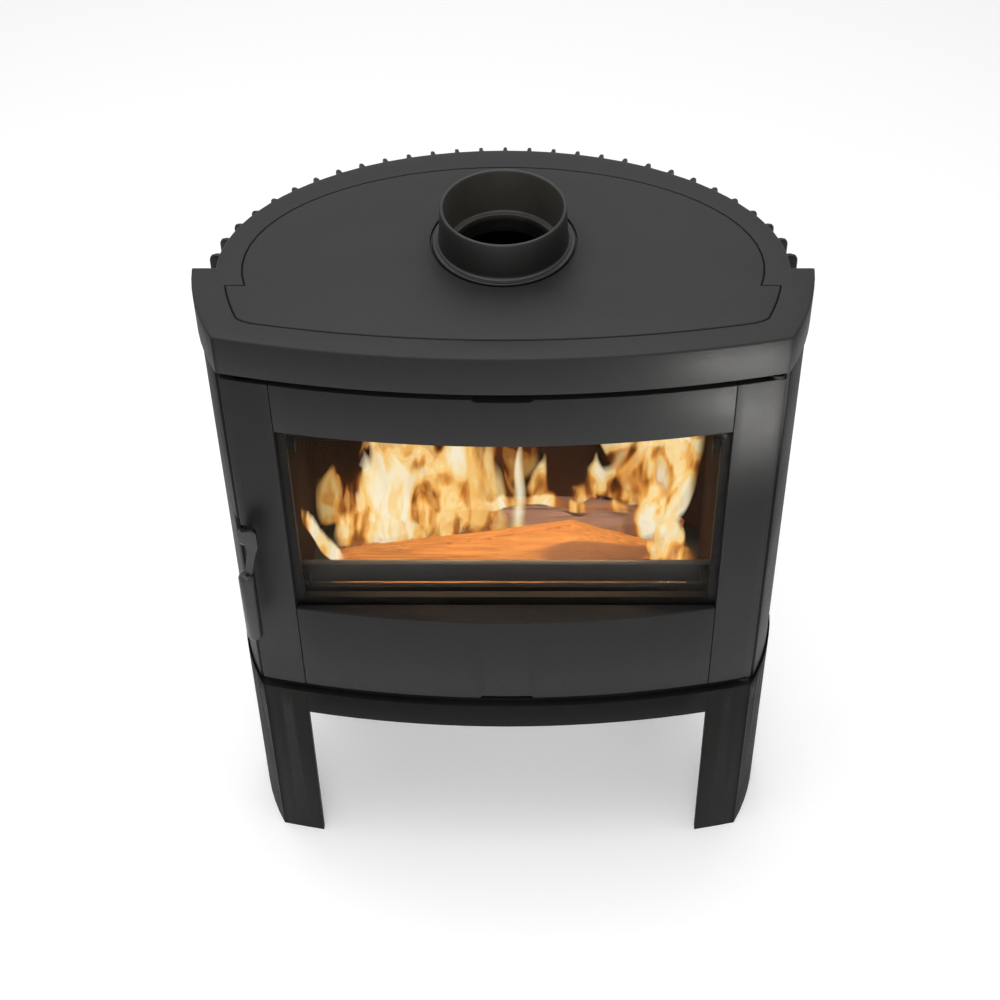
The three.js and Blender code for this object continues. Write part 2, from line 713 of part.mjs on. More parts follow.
// Split logs laid on the grate; a section gives shares of the width and height, and the ridge off centre
function addLogs() {
  const log = (length, width, height, sections, turn, at) => {
    const outline = ([wide, high, ridge]) => {
      const half = wide * width / 2;
      const top = high * height;
      const crest = ridge * width;
      return [
        [-half, 0.02 * width], [-0.88 * half, 0], [0.84 * half, 0], [half, 0.35 * top],
        [0.82 * half, 0.8 * top], [crest + 0.16 * half, 0.97 * top], [crest, top], [-0.94 * half, 0.3 * top],
      ];
    };
    const geometry = loft(sections.map((section, i) => ({
      points: outline(section).map(([y, z]) => new THREE.Vector2(y, z)),
      z: length * (i / (sections.length - 1) - 0.5),
    })));
    const axes = new THREE.Matrix4().makeBasis(
      new THREE.Vector3(0, 1, 0), new THREE.Vector3(0, 0, 1), new THREE.Vector3(1, 0, 0),
    );
    return geometry.applyMatrix4(axes).rotateZ(THREE.MathUtils.degToRad(turn)).translate(at.x, at.y, at.z);
  };
  const z = hearthZ + 2 + seat;
  const frontSections = [
    [0.7, 0.54, 0], [0.85, 0.68, 0.06], [0.96, 0.8, 0.1], [1, 1, 0.13], [0.74, 0.54, 0.06],
  ];
  const rearSections = [[0.87, 0.91, -0.13], [1, 0.97, -0.19], [1, 1, -0.19], [0.87, 0.94, -0.13]];
  const frontAt = { x: -0.07 * fireHalf, y: grateFrontY + frontLogSetback, z };
  const rearAt = { x: -0.015 * fireHalf, y: grateFrontY + rearLogSetback, z };
  add('log_front', log(1.62 * fireHalf, frontLogWidth, frontLogHeight, frontSections, 2, frontAt), 'wood');
  add('log_rear', log(1.4 * fireHalf, rearLogWidth, rearLogHeight, rearSections, -1, rearAt), 'wood');
}

// Door: inner frame, curved stiles and rails, flat glass, rope gasket
function addDoor() {
  const frameY = paneBackY + seat;
  const frameBottomZ = doorBottomZ + doorFrameBorder;
  const frameTopZ = doorTopZ - doorFrameBorder;
  const openHalf = fireHalf - 2;
  add('door_frame', cut(
    box(-doorFrameHalf, doorFrameHalf, frameY, doorBackY, frameBottomZ, frameTopZ),
    box(-openHalf, openHalf, frameY - 1, doorBackY + 1, glassBottomZ + 10, glassTopZ - 8),
  ), 'ironDark');

  const seamX = stileSeam + seamGap / 2;
  const stilePlan = [
    ...frontCurve(seamX, doorHalf, doorInset, 5),
    new THREE.Vector2(doorHalf, stileBackY),
    new THREE.Vector2(doorFrameHalf + seat, stileBackY),
    new THREE.Vector2(doorFrameHalf + seat, paneBackY),
    new THREE.Vector2(seamX, paneBackY),
  ];
  const stile = prism(stilePlan, doorBottomZ, doorTopZ);
  const pinHole = (z) => rod(hingePinRadius + seat, 2 * hingePinInDoor, 'z', { x: hingeX, y: hingeY, z }, 16);
  add('door_stile_right', cut(stile, pinHole(doorTopZ), pinHole(doorBottomZ)), 'iron');
  const leverSlot = box(
    -doorHalf - 1, -leverOuterX + leverThickness + 0.6, -40, 40, slotBottomZ, slotTopZ,
  );
  const boreAt = { x: -leverOuterX + leverThickness + 4, y: leverY, z: leverZ };
  const pinBore = rod(leverPinRadius + seat, 16, 'x', boreAt, 16);
  add('door_stile_left', cut(flip(stile), leverSlot, pinBore), 'iron');

  const railHalf = stileSeam - seamGap / 2;
  const railPlan = [
    ...frontCurve(-railHalf, railHalf, doorInset, 20),
    new THREE.Vector2(railHalf, paneBackY),
    new THREE.Vector2(-railHalf, paneBackY),
  ];
  const pocketPlan = [
    ...frontCurve(castWall - railHalf, railHalf - castWall, doorInset + castWall, 20),
    new THREE.Vector2(railHalf - castWall, paneBackY + 1),
    new THREE.Vector2(castWall - railHalf, paneBackY + 1),
  ];
  const notchPlan = [
    new THREE.Vector2(-notchHalf, 0), new THREE.Vector2(-notchHalf + 4, notchDepth),
    new THREE.Vector2(notchHalf - 4, notchDepth), new THREE.Vector2(notchHalf, 0),
    new THREE.Vector2(notchHalf, -1), new THREE.Vector2(-notchHalf, -1),
  ];
  const notch = (z, up) => {
    const shape = new THREE.Shape(notchPlan);
    const geometry = new THREE.ExtrudeGeometry(shape, { depth: 80, bevelEnabled: false });
    geometry.rotateX(Math.PI / 2).translate(0, 20, 0);
    return up ? geometry.translate(0, 0, z) : geometry.rotateY(Math.PI).translate(0, 0, z);
  };
  const paneHalf = railHalf - 2;
  const paneSlot = (z0, z1) => box(-railHalf - 1, railHalf + 1, glassPlaneY - seat, paneBackY + 1, z0, z1);
  add('door_rail_top', cut(
    prism(railPlan, glassTopZ, doorTopZ),
    paneSlot(glassTopZ - 1, glassTopZ + glassLap + seat),
    prism(pocketPlan, glassTopZ + glassLap + railWeb, doorTopZ - railWeb),
    notch(doorTopZ, false),
  ), 'iron');
  add('door_rail_bottom', cut(
    prism(railPlan, doorBottomZ, glassBottomZ),
    paneSlot(glassBottomZ - glassLap - seat, glassBottomZ + 1),
    prism(pocketPlan, doorBottomZ + railWeb, glassBottomZ - glassLap - railWeb),
    notch(doorBottomZ, true),
  ), 'iron');
  add('door_glass', box(
    -paneHalf, paneHalf, glassPlaneY, paneBackY, glassBottomZ - glassLap, glassTopZ + glassLap,
  ), 'glass');

  const ropeHalf = fireHalf + 24;
  const ropeInner = ropeHalf - gasketWidth;
  const ropeBottom = basePlateZ + 26;
  const ropeTop = fireTopZ + 22;
  const ropeY = doorBackY + seat;
  add('door_gasket', cut(
    box(-ropeHalf, ropeHalf, ropeY, ropeY + gasketThickness, ropeBottom, ropeTop),
    box(
      -ropeInner, ropeInner, 0, doorBackY + 4 * gasketThickness,
      ropeBottom + gasketWidth, ropeTop - gasketWidth,
    ),
  ), 'rope');

  const clipInner = openHalf - 10;
  const clipOuter = openHalf + 14;
  const clipY = doorBackY + seat;
  for (const [side, mirror] of [['left', -1], ['right', 1]]) {
    for (const [level, z] of [['lower', glassBottomZ + clipSetback], ['upper', glassTopZ - clipSetback]]) {
      const z0 = z - clipHeight / 2;
      const z1 = z + clipHeight / 2;
      const clip = join(
        box(clipInner, clipOuter, clipY, clipY + clipThickness, z0, z1),
        box(clipInner, clipInner + clipThickness, paneBackY + seat, clipY + clipThickness, z0, z1),
      );
      add(`glass_clip_${side}_${level}`, mirror > 0 ? clip : flip(clip), 'steel');
    }
  }
}

// Hinges: brackets on the front frame, loose pins into the right stile
function addHinges() {
  const bracketPlan = [
    new THREE.Vector2(hingeX - 14, frontFrameY - seat), new THREE.Vector2(hingeX - 8, hingeY - 2),
    new THREE.Vector2(hingeX - 4, hingeY - 6), new THREE.Vector2(hingeX + 4, hingeY - 6),
    new THREE.Vector2(hingeX + 7, hingeY - 3), new THREE.Vector2(hingeX + 5, frontFrameY - seat),
  ];
  const levels = [
    ['top', doorTopZ + bracketGap, 1],
    ['bottom', doorBottomZ - bracketGap - bracketThickness, -1],
  ];
  for (const [name, z, side] of levels) {
    const bore = rod(hingePinRadius + pinClearance, 30, 'z', { x: hingeX, y: hingeY, z }, 16);
    add(`hinge_bracket_${name}`, cut(prism(bracketPlan, z, z + bracketThickness), bore), 'steel');
    const doorEdge = side > 0 ? doorTopZ : doorBottomZ;
    const inDoor = hingePinInDoor - 2;
    const out = bracketGap + bracketThickness + seat;
    const centre = doorEdge + side * (out - inDoor) / 2;
    const pin = rod(hingePinRadius, inDoor + out, 'z', { x: hingeX, y: hingeY, z: centre }, 16);
    add(`hinge_pin_${name}`, pin, 'brightSteel');
  }
}

// Latch: cranked lever with inner cam hook and grip, its pin, and the keeper on the front frame
function addLatch() {
  const x0 = -leverOuterX;
  const x1 = x0 + leverThickness;
  const keeperZ = leverZ + keeperRise;
  const hookY = leverY + hookReach;
  const armTopZ = keeperZ - keeperRadius - armGap;
  const armBottomZ = armTopZ - armDepth;
  const crestZ = keeperZ - keeperRadius + camEngagement;
  const camFaceY = (z) => hookY
    + (keeperRadius + hookGap) / Math.sin(camSlope) + (z - keeperZ) / Math.tan(camSlope);
  const camFootY = camFaceY(armTopZ);
  const crestY = camFaceY(crestZ);
  const camEndY = crestY + camCrest + (crestZ - armTopZ) / Math.tan(camBackSlope);
  const headZ = leverZ + leverHead;
  const plateY = gripY - 3;
  const profile = [
    [plateY, headZ], [plateY, leverZ + 18], [leverY - 15, leverZ - 7], [leverY - 5, armBottomZ],
    [hookY, armBottomZ], [camEndY, armTopZ - armDepth / 3], [camEndY, armTopZ],
    [crestY + camCrest, crestZ], [crestY, crestZ], [camFootY, armTopZ],
    [leverY + 10, armTopZ], [leverY + 3, leverZ + 9],
    [leverY - 11, leverZ + 9], [plateY + 12, headZ - 7], [plateY + 6, headZ],
  ].map(([y, z]) => new THREE.Vector2(y, z));
  const web = cut(
    alongX(profile, x0, x1),
    rod(leverPinRadius + seat, 30, 'x', { x: x0, y: leverY, z: leverZ }, 16),
  );
  const bendX = x0 + leverCrank;
  const front = [
    [x0, headZ - 1], [x0, leverZ + 18], [x0 + 6, leverZ + 14], [x0 + 8, leverZ], [gripX, gripTopZ + 8],
    [gripX, gripTopZ], [gripX + neckWidth, gripTopZ], [gripX + neckWidth + 1, gripTopZ + 6],
    [bendX - 5, leverZ - 7], [bendX, leverZ + 8], [bendX, headZ - 4], [bendX - 4, headZ],
  ].map(([x, z]) => new THREE.Vector2(x, z));
  const plate = new THREE.ExtrudeGeometry(new THREE.Shape(front), { depth: 6, bevelEnabled: false });
  plate.rotateX(Math.PI / 2).translate(0, gripY + 3, 0);
  add('handle_lever', join(web, plate), 'steel');

  const bottom = gripTopZ - seat - gripLength;
  add('handle_grip', turned([
    [0, bottom], [gripRadius - 4, bottom], [gripRadius - 1.2, bottom + 1.4], [gripRadius, bottom + 4],
    [gripRadius, gripTopZ - 6], [gripRadius - 1.4, gripTopZ - 2.4], [gripRadius - 4, gripTopZ - seat],
    [0, gripTopZ - seat],
  ], { x: gripX, y: gripY, z: 0 }, 24), 'ironDark');
  add('handle_pin', rod(leverPinRadius, 13, 'x', { x: x1 + 2.2, y: leverY, z: leverZ }, 16), 'brightSteel');

  const footX = -frontFrameHalf + 2;
  const keeperEndX = footX + 2;
  add('latch_keeper', join(
    box(footX, footX + 6, frontFrameBackY + seat, hookY + 8, keeperZ - keeperFoot, keeperZ + keeperFoot),
    rod(keeperRadius, keeperEndX - x0 + 2, 'x', { x: (keeperEndX + x0) / 2, y: hookY, z: keeperZ }, 16),
  ), 'brightSteel');
}

// Air slides: long plates with a thumb tab, above and below the door
function addAirSlides() {
  const tabHalf = 17;
  const tabY = -26;
  const plateHalf = 70;
  const upperZ = doorTopZ + 2.4;
  add('airwash_slide', join(
    box(-plateHalf, plateHalf, frontFrameY - 5, frontFrameY - seat, upperZ, upperZ + 6),
    box(-tabHalf + 6, tabHalf - 6, tabY + 4, frontFrameY - 3, upperZ + 1.5, upperZ + 4.5),
    box(-tabHalf, tabHalf, tabY, tabY + 6, upperZ, upperZ + 6),
  ), 'steel');
  const lowerZ = basePlateZ + seat;
  const lowerBack = 8;
  add('primary_air_slide', join(
    box(-plateHalf, plateHalf, -6, lowerBack, lowerZ, lowerZ + 3),
    box(-tabHalf + 6, tabHalf - 6, tabY + 4, 0, lowerZ, lowerZ + 3),
    box(-tabHalf, tabHalf, tabY, tabY + 6, lowerZ, lowerZ + 6),
  ), 'steel');
}

addBase();
addCheeks();
addRearShell();
addTop();
addFirebox();
addLogs();
addDoor();
addHinges();
addLatch();
addAirSlides();

const frontReach = frontBow;
const rearReach = backCentreY + backReach + finRearReach;
stove.position.y = -(rearReach - frontReach) / 2;

export default stove;
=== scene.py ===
import json
import math

import bmesh
import bpy
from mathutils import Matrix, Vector, noise


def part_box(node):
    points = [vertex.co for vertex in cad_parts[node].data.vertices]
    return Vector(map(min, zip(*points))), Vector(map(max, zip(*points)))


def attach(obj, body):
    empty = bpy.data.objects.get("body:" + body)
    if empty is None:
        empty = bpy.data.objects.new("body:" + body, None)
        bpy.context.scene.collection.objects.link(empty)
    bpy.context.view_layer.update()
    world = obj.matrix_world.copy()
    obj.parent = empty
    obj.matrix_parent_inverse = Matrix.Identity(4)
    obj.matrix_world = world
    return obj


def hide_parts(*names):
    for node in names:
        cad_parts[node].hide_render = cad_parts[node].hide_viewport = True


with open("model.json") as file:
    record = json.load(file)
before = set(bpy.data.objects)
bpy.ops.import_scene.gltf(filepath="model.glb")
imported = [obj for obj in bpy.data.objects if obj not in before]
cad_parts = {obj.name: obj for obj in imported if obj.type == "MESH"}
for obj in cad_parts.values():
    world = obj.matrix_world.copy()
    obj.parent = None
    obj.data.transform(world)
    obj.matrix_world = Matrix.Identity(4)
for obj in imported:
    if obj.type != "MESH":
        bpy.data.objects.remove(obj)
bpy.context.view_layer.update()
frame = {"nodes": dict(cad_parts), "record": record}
scene = bpy.context.scene
mm = 0.001
weld = 0.01 * mm  # points closer than this are one


def shaded(colour, share):
    return tuple(share * part for part in colour)


# A material and the nodes that its colour, roughness and bump are built from
class Finish:
    def __init__(self, name, **values):
        self.material = bpy.data.materials.new(name)
        self.material.use_nodes = True
        self.nodes = self.material.node_tree.nodes
        self.links = self.material.node_tree.links
        self.shader = self.nodes["Principled BSDF"]
        for socket, value in values.items():
            self.shader.inputs[socket].default_value = value
        self.place = self.nodes.new("ShaderNodeTexCoord").outputs["Object"]

    def link(self, output, socket):
        self.links.new(output, self.shader.inputs[socket])

    def stretched(self, scale, turn=(0, 0, 0)):
        node = self.nodes.new("ShaderNodeMapping")
        node.inputs["Scale"].default_value = scale
        node.inputs["Rotation"].default_value = turn
        self.links.new(self.place, node.inputs["Vector"])
        return node.outputs["Vector"]

    def noise(self, scale, detail=3.0, rough=0.5, vector=None, distortion=0.0):
        node = self.nodes.new("ShaderNodeTexNoise")
        node.inputs["Scale"].default_value = scale
        node.inputs["Detail"].default_value = detail
        node.inputs["Roughness"].default_value = rough
        node.inputs["Distortion"].default_value = distortion
        self.links.new(vector or self.place, node.inputs["Vector"])
        return node.outputs["Fac"]

    def cells(self, scale, vector=None, feature="F1"):
        node = self.nodes.new("ShaderNodeTexVoronoi")
        node.feature = feature
        node.inputs["Scale"].default_value = scale
        self.links.new(vector or self.place, node.inputs["Vector"])
        return node.outputs["Distance"]

    def ramp(self, value, stops):
        node = self.nodes.new("ShaderNodeValToRGB")
        ramp = node.color_ramp
        while len(ramp.elements) < len(stops):
            ramp.elements.new(0.5)
        for element, (position, colour) in zip(ramp.elements, stops):
            element.position = position
            element.color = (*colour, 1) if isinstance(colour, tuple) else (colour, colour, colour, 1)
        self.links.new(value, node.inputs["Fac"])
        return node.outputs["Color"]

    def remap(self, value, low, high, toLow, toHigh):
        node = self.nodes.new("ShaderNodeMapRange")
        for socket, number in zip(("From Min", "From Max", "To Min", "To Max"), (low, high, toLow, toHigh)):
            node.inputs[socket].default_value = number
        self.links.new(value, node.inputs["Value"])
        return node.outputs["Result"]

    def math(self, operation, a, b=0):
        node = self.nodes.new("ShaderNodeMath")
        node.operation = operation
        for socket, value in zip(node.inputs, (a, b)):
            if isinstance(value, (int, float)):
                socket.default_value = value
            else:
                self.links.new(value, socket)
        return node.outputs["Value"]

    # the colours and the result go by number, because a mix has sockets of one name for each type
    def mix(self, factor, a, b):
        node = self.nodes.new("ShaderNodeMix")
        node.data_type = "RGBA"
        for socket, value in ((node.inputs["Factor"], factor), (node.inputs[6], a), (node.inputs[7], b)):
            if isinstance(value, (int, float)):
                socket.default_value = value
            elif isinstance(value, tuple):
                socket.default_value = (*value, 1)
            else:
                self.links.new(value, socket)
        return node.outputs[2]

    # one on an outer edge and none on a flat face
    def edges(self):
        flat, edge = 0.52, 0.6
        node = self.nodes.new("ShaderNodeNewGeometry")
        return self.remap(node.outputs["Pointiness"], flat, edge, 0, 1)

    def axis(self, name):
        node = self.nodes.new("ShaderNodeSeparateXYZ")
        self.links.new(self.place, node.inputs["Vector"])
        return node.outputs[name]

    def bump(self, height, strength, distance, under=None):
        node = self.nodes.new("ShaderNodeBump")
        node.inputs["Strength"].default_value = strength
        node.inputs["Distance"].default_value = distance
        self.links.new(height, node.inputs["Height"])
        if under:
            self.links.new(under, node.inputs["Normal"])
        return node.outputs["Normal"]


# Painted shade on the stove's ends: outside "inner" to "outer", forward of the shell and below the top, the
# paint is darkened and its sheen lowered. There "tone" and "shine" are what is left of the paint's own
paintedEndShade = {
    "inner": 0.3245, "outer": 0.3335, "front": -0.045, "back": -0.036, "low": 0.9375, "high": 0.9395,
    "tone": 0.5, "shine": 0.35,
}


def paintedCastIron(name="stovePaint", tone=1.0, shine=0.19):
    dark, light, edgeHighlight = (0.0122, 0.0122, 0.0124), (0.0170, 0.0170, 0.0168), (0.045, 0.044, 0.042)
    rough = 0.46
    f = Finish(name, Metallic=0.0)
    cloud = f.noise(7, 4, 0.6)
    grain = f.noise(950, 2, 0.6)
    pits = f.noise(260, 4, 0.65)
    base = f.ramp(cloud, [(0.3, shaded(dark, tone)), (0.7, shaded(light, tone))])
    fleck = f.mix(f.remap(grain, 0.35, 0.75, 0, 0.3), base, shaded(light, 1.5 * tone))
    # painted highlight: the eased edges are lighter
    withEdgeHighlight = f.mix(f.remap(f.edges(), 0, 1, 0, 0.3), fleck, edgeHighlight)
    v = paintedEndShade
    outer = f.remap(f.math("ABSOLUTE", f.axis("X")), v["inner"], v["outer"], 0, 1)
    forward = f.remap(f.axis("Y"), v["front"], v["back"], 1, 0)
    below = f.remap(f.axis("Z"), v["low"], v["high"], 1, 0)
    end = f.math("MULTIPLY", outer, f.math("MULTIPLY", forward, below))
    # painted shade: at the ends the paint is darker and its sheen lower
    f.link(f.mix(end, withEdgeHighlight, shaded(dark, v["tone"] * tone)), "Base Color")
    f.link(f.remap(end, 0, 1, shine, v["shine"] * shine), "Specular IOR Level")
    f.link(f.remap(f.math("ADD", cloud, pits), 0.6, 1.4, rough - 0.08, rough + 0.12), "Roughness")
    fine = f.bump(grain, 0.22, 0.0004)
    f.link(f.bump(pits, 0.18, 0.0007, fine), "Normal")
    return f.material


# fired iron's black, darkened further with a low sheen as painted shade in the gaps and grooves these parts
# fill
def firedIronAndShade():
    f = Finish("firedIronAndShade", Metallic=0.0)
    f.shader.inputs["Specular IOR Level"].default_value = 0.12
    cloud = f.noise(14, 5, 0.65)
    pits = f.noise(420, 3, 0.6)
    scale = [(0.3, (0.005, 0.005, 0.005)), (0.6, (0.009, 0.009, 0.009)), (0.8, (0.016, 0.014, 0.012))]
    f.link(f.ramp(cloud, scale), "Base Color")
    f.link(f.remap(cloud, 0.3, 0.7, 0.5, 0.68), "Roughness")
    f.link(f.bump(pits, 0.3, 0.0006), "Normal")
    return f.material


def turnedCollar():
    f = Finish("turnedCollar", Metallic=0.35)
    smut = f.noise(18, 5, 0.6, f.stretched((1, 1, 0.4)))
    grain = f.noise(800, 3, 0.6)
    tone = f.ramp(smut, [(0.3, (0.0052, 0.0052, 0.0050)), (0.75, (0.0120, 0.0114, 0.0104))])
    # painted light: the inner wall, up to this radius, is lighter and warmer
    paintedLightRadius, paintedLightFade = 0.0706, 0.0710
    low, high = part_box("flue_collar")
    aside = f.math("SUBTRACT", f.axis("X"), (low.x + high.x) / 2)
    behind = f.math("SUBTRACT", f.axis("Y"), (low.y + high.y) / 2)
    squares = f.math("ADD", f.math("MULTIPLY", aside, aside), f.math("MULTIPLY", behind, behind))
    radius = f.math("SQRT", squares)
    # painted light: a lighter, warmer shade for the collar's inner wall
    ashAndPaintedLight = f.ramp(smut, [(0.3, (0.040, 0.037, 0.032)), (0.75, (0.07, 0.064, 0.055))])
    lined = f.mix(f.remap(radius, paintedLightRadius, paintedLightFade, 1, 0), tone, ashAndPaintedLight)
    # painted highlight: the collar's edges are lighter
    f.link(f.mix(f.remap(f.edges(), 0, 1, 0, 0.6), lined, (0.10, 0.098, 0.092)), "Base Color")
    f.link(f.remap(grain, 0.3, 0.7, 0.32, 0.44), "Roughness")
    f.link(f.bump(grain, 0.12, 0.0003), "Normal")
    return f.material


def sheetSteel():
    f = Finish("sheetSteel", Metallic=0.6)
    streak = f.noise(30, 4, 0.6, f.stretched((1, 1, 14)))
    f.link(f.ramp(streak, [(0.3, (0.012, 0.012, 0.012)), (0.7, (0.026, 0.025, 0.024))]), "Base Color")
    f.link(f.remap(streak, 0.3, 0.7, 0.42, 0.62), "Roughness")
    f.link(f.bump(f.noise(700, 2), 0.1, 0.0003), "Normal")
    return f.material


def machinedSteel():
    f = Finish("machinedSteel", Metallic=1.0)
    rings = f.noise(900, 3, 0.6, f.stretched((1, 1, 0.1)))
    f.link(f.ramp(rings, [(0.3, (0.3, 0.3, 0.29)), (0.7, (0.5, 0.5, 0.48))]), "Base Color")
    f.link(f.remap(rings, 0.3, 0.7, 0.25, 0.45), "Roughness")
    f.link(f.bump(rings, 0.15, 0.0002), "Normal")
    return f.material


def handleBlack():
    f = Finish("handleBlack", Metallic=0.2)
    f.shader.inputs["Coat Weight"].default_value = 0.15
    f.shader.inputs["Coat Roughness"].default_value = 0.3
    cloud = f.noise(60, 4, 0.6)
    f.link(f.ramp(cloud, [(0.3, (0.008, 0.008, 0.009)), (0.7, (0.02, 0.02, 0.021))]), "Base Color")
    f.link(f.remap(cloud, 0.3, 0.7, 0.28, 0.42), "Roughness")
    f.link(f.bump(f.noise(1200, 2), 0.12, 0.0002), "Normal")
    return f.material


def stoveGlass():
    # ceramic glass: nearly clear, with a faint brown cloud of smoke here and there
    f = Finish("stoveGlass", Roughness=0.02, IOR=1.08)
    f.shader.inputs["Transmission Weight"].default_value = 1.0
    smoke = f.noise(7, 4, 0.6)
    f.link(f.ramp(smoke, [(0.35, (0.99, 0.97, 0.94)), (0.75, (0.93, 0.88, 0.81))]), "Base Color")
    f.link(f.remap(f.noise(35, 4, 0.6), 0.4, 0.8, 0.0, 0.03), "Roughness")
    return f.material


def braidedRope():
    f = Finish("braidedRope", Roughness=0.95)
    across = f.cells(420, f.stretched((1, 0.6, 1), (0.6, 0.5, 0)))
    fuzz = f.noise(1500, 3, 0.7)
    f.link(f.ramp(across, [(0.0, (0.11, 0.105, 0.095)), (0.6, (0.045, 0.043, 0.04))]), "Base Color")
    f.link(f.bump(f.math("ADD", across, fuzz), 0.8, 0.001), "Normal")
    return f.material


def sootedBrick():
    f = Finish("sootedBrick", Roughness=0.95)
    f.shader.inputs["Specular IOR Level"].default_value = 0.08
    flake = f.noise(160, 5, 0.7)
    soot = f.noise(9, 5, 0.65)
    warm = f.ramp(soot, [
        (0.3, (0.007, 0.003, 0.0013)), (0.6, (0.026, 0.011, 0.0045)), (0.85, (0.055, 0.025, 0.010)),
    ])
    f.link(f.mix(f.remap(flake, 0.3, 0.7, 0, 0.5), warm, (0.016, 0.007, 0.003)), "Base Color")
    f.link(f.bump(flake, 0.7, 0.002), "Normal")
    return f.material


# Bark and painted shade darken a log's underside, up to between the two heights of its bark entry. Painted
# shade darkens the split face where it turns under, in front of a line that goes back by "slant" with X,
# darkest from the second X of "right" on
logFace = {
    "ragged": 0.02, "barkAndShade": (0.022, 0.034), "slant": 0.11, "blur": (-0.001, 0.002),
    "right": (-0.02, 0.06), "shadow": 0.95,
}


def splitWood(name, node, shades, char, under):
    # fibres run along X, and char gathers in cloudy patches
    v = logFace
    f = Finish(name, Roughness=0.85)
    f.shader.inputs["Specular IOR Level"].default_value = 0.2
    fibre = f.noise(130, 5, 0.62, f.stretched((0.04, 1, 1)), 0.4)
    fine = f.noise(420, 4, 0.7, f.stretched((0.02, 1, 1)))
    patch = f.noise(13, 5, 0.7, f.stretched((0.6, 1, 1)))
    grain = f.ramp(fibre, list(zip((0.28, 0.5, 0.74), shades)))
    lined = f.mix(f.remap(fine, 0.44, 0.62, 0, 0.8), grain, shaded(shades[1], 0.38))
    burnt = f.mix(f.remap(patch, 0.9 - char, 1.02 - char, 0, 0.9), lined, (0.028, 0.015, 0.011))
    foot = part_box(node)[0].z
    level = f.math("ADD", f.axis("Z"), f.math("MULTIPLY", patch, v["ragged"]))
    barkAndShade = f.remap(level, foot + v["barkAndShade"][0], foot + v["barkAndShade"][1], 1, 0)
    line = f.math("SUBTRACT", f.math("MULTIPLY", f.axis("X"), v["slant"]), under)
    ahead = f.remap(f.math("SUBTRACT", line, f.axis("Y")), *v["blur"], 0, 1)
    turnedShade = f.math("MULTIPLY", ahead, f.remap(f.axis("X"), *v["right"], 0, v["shadow"]))
    # painted shade: the underside and the turned-under face are mixed to dark brown
    f.link(f.mix(f.math("MAXIMUM", barkAndShade, turnedShade), burnt, (0.035, 0.016, 0.009)), "Base Color")
    f.link(f.bump(f.math("ADD", fibre, fine), 0.55, 0.0022), "Normal")
    return f.material


def glowingEmbers():
    f = Finish("glowingEmbers", Roughness=0.95)
    f.shader.inputs["Emission Strength"].default_value = 0.7
    crack = f.cells(34, None, "DISTANCE_TO_EDGE")
    heat = f.noise(12, 4, 0.6)
    ashAndPaintedLight = f.ramp(f.noise(90, 4), [(0.3, (0.02, 0.015, 0.012)), (0.7, (0.16, 0.13, 0.11))])
    f.link(ashAndPaintedLight, "Base Color")
    glow = f.math("MULTIPLY", f.remap(crack, 0.0, 0.16, 1, 0), f.remap(heat, 0.4, 0.65, 0, 1))
    fire = f.ramp(glow, [(0.0, (0, 0, 0)), (0.35, (0.5, 0.07, 0.01)), (0.8, (1.0, 0.42, 0.08))])
    f.link(fire, "Emission Color")
    f.link(f.bump(f.noise(120, 5, 0.7), 0.8, 0.004), "Normal")
    return f.material


# How the gas burns: "foot", "reach", "further" and "tip" are shares of a sheet's height, and the others
# shares of its strength
gas = {
    "foot": 0.08, "reach": 0.62, "further": 0.40, "tip": 0.24,
    "threads": 0.3, "thin": 0.30, "faint": 0.30, "dense": 0.90, "heat": 0.56, "vein": 0.14, "rim": -0.12,
}


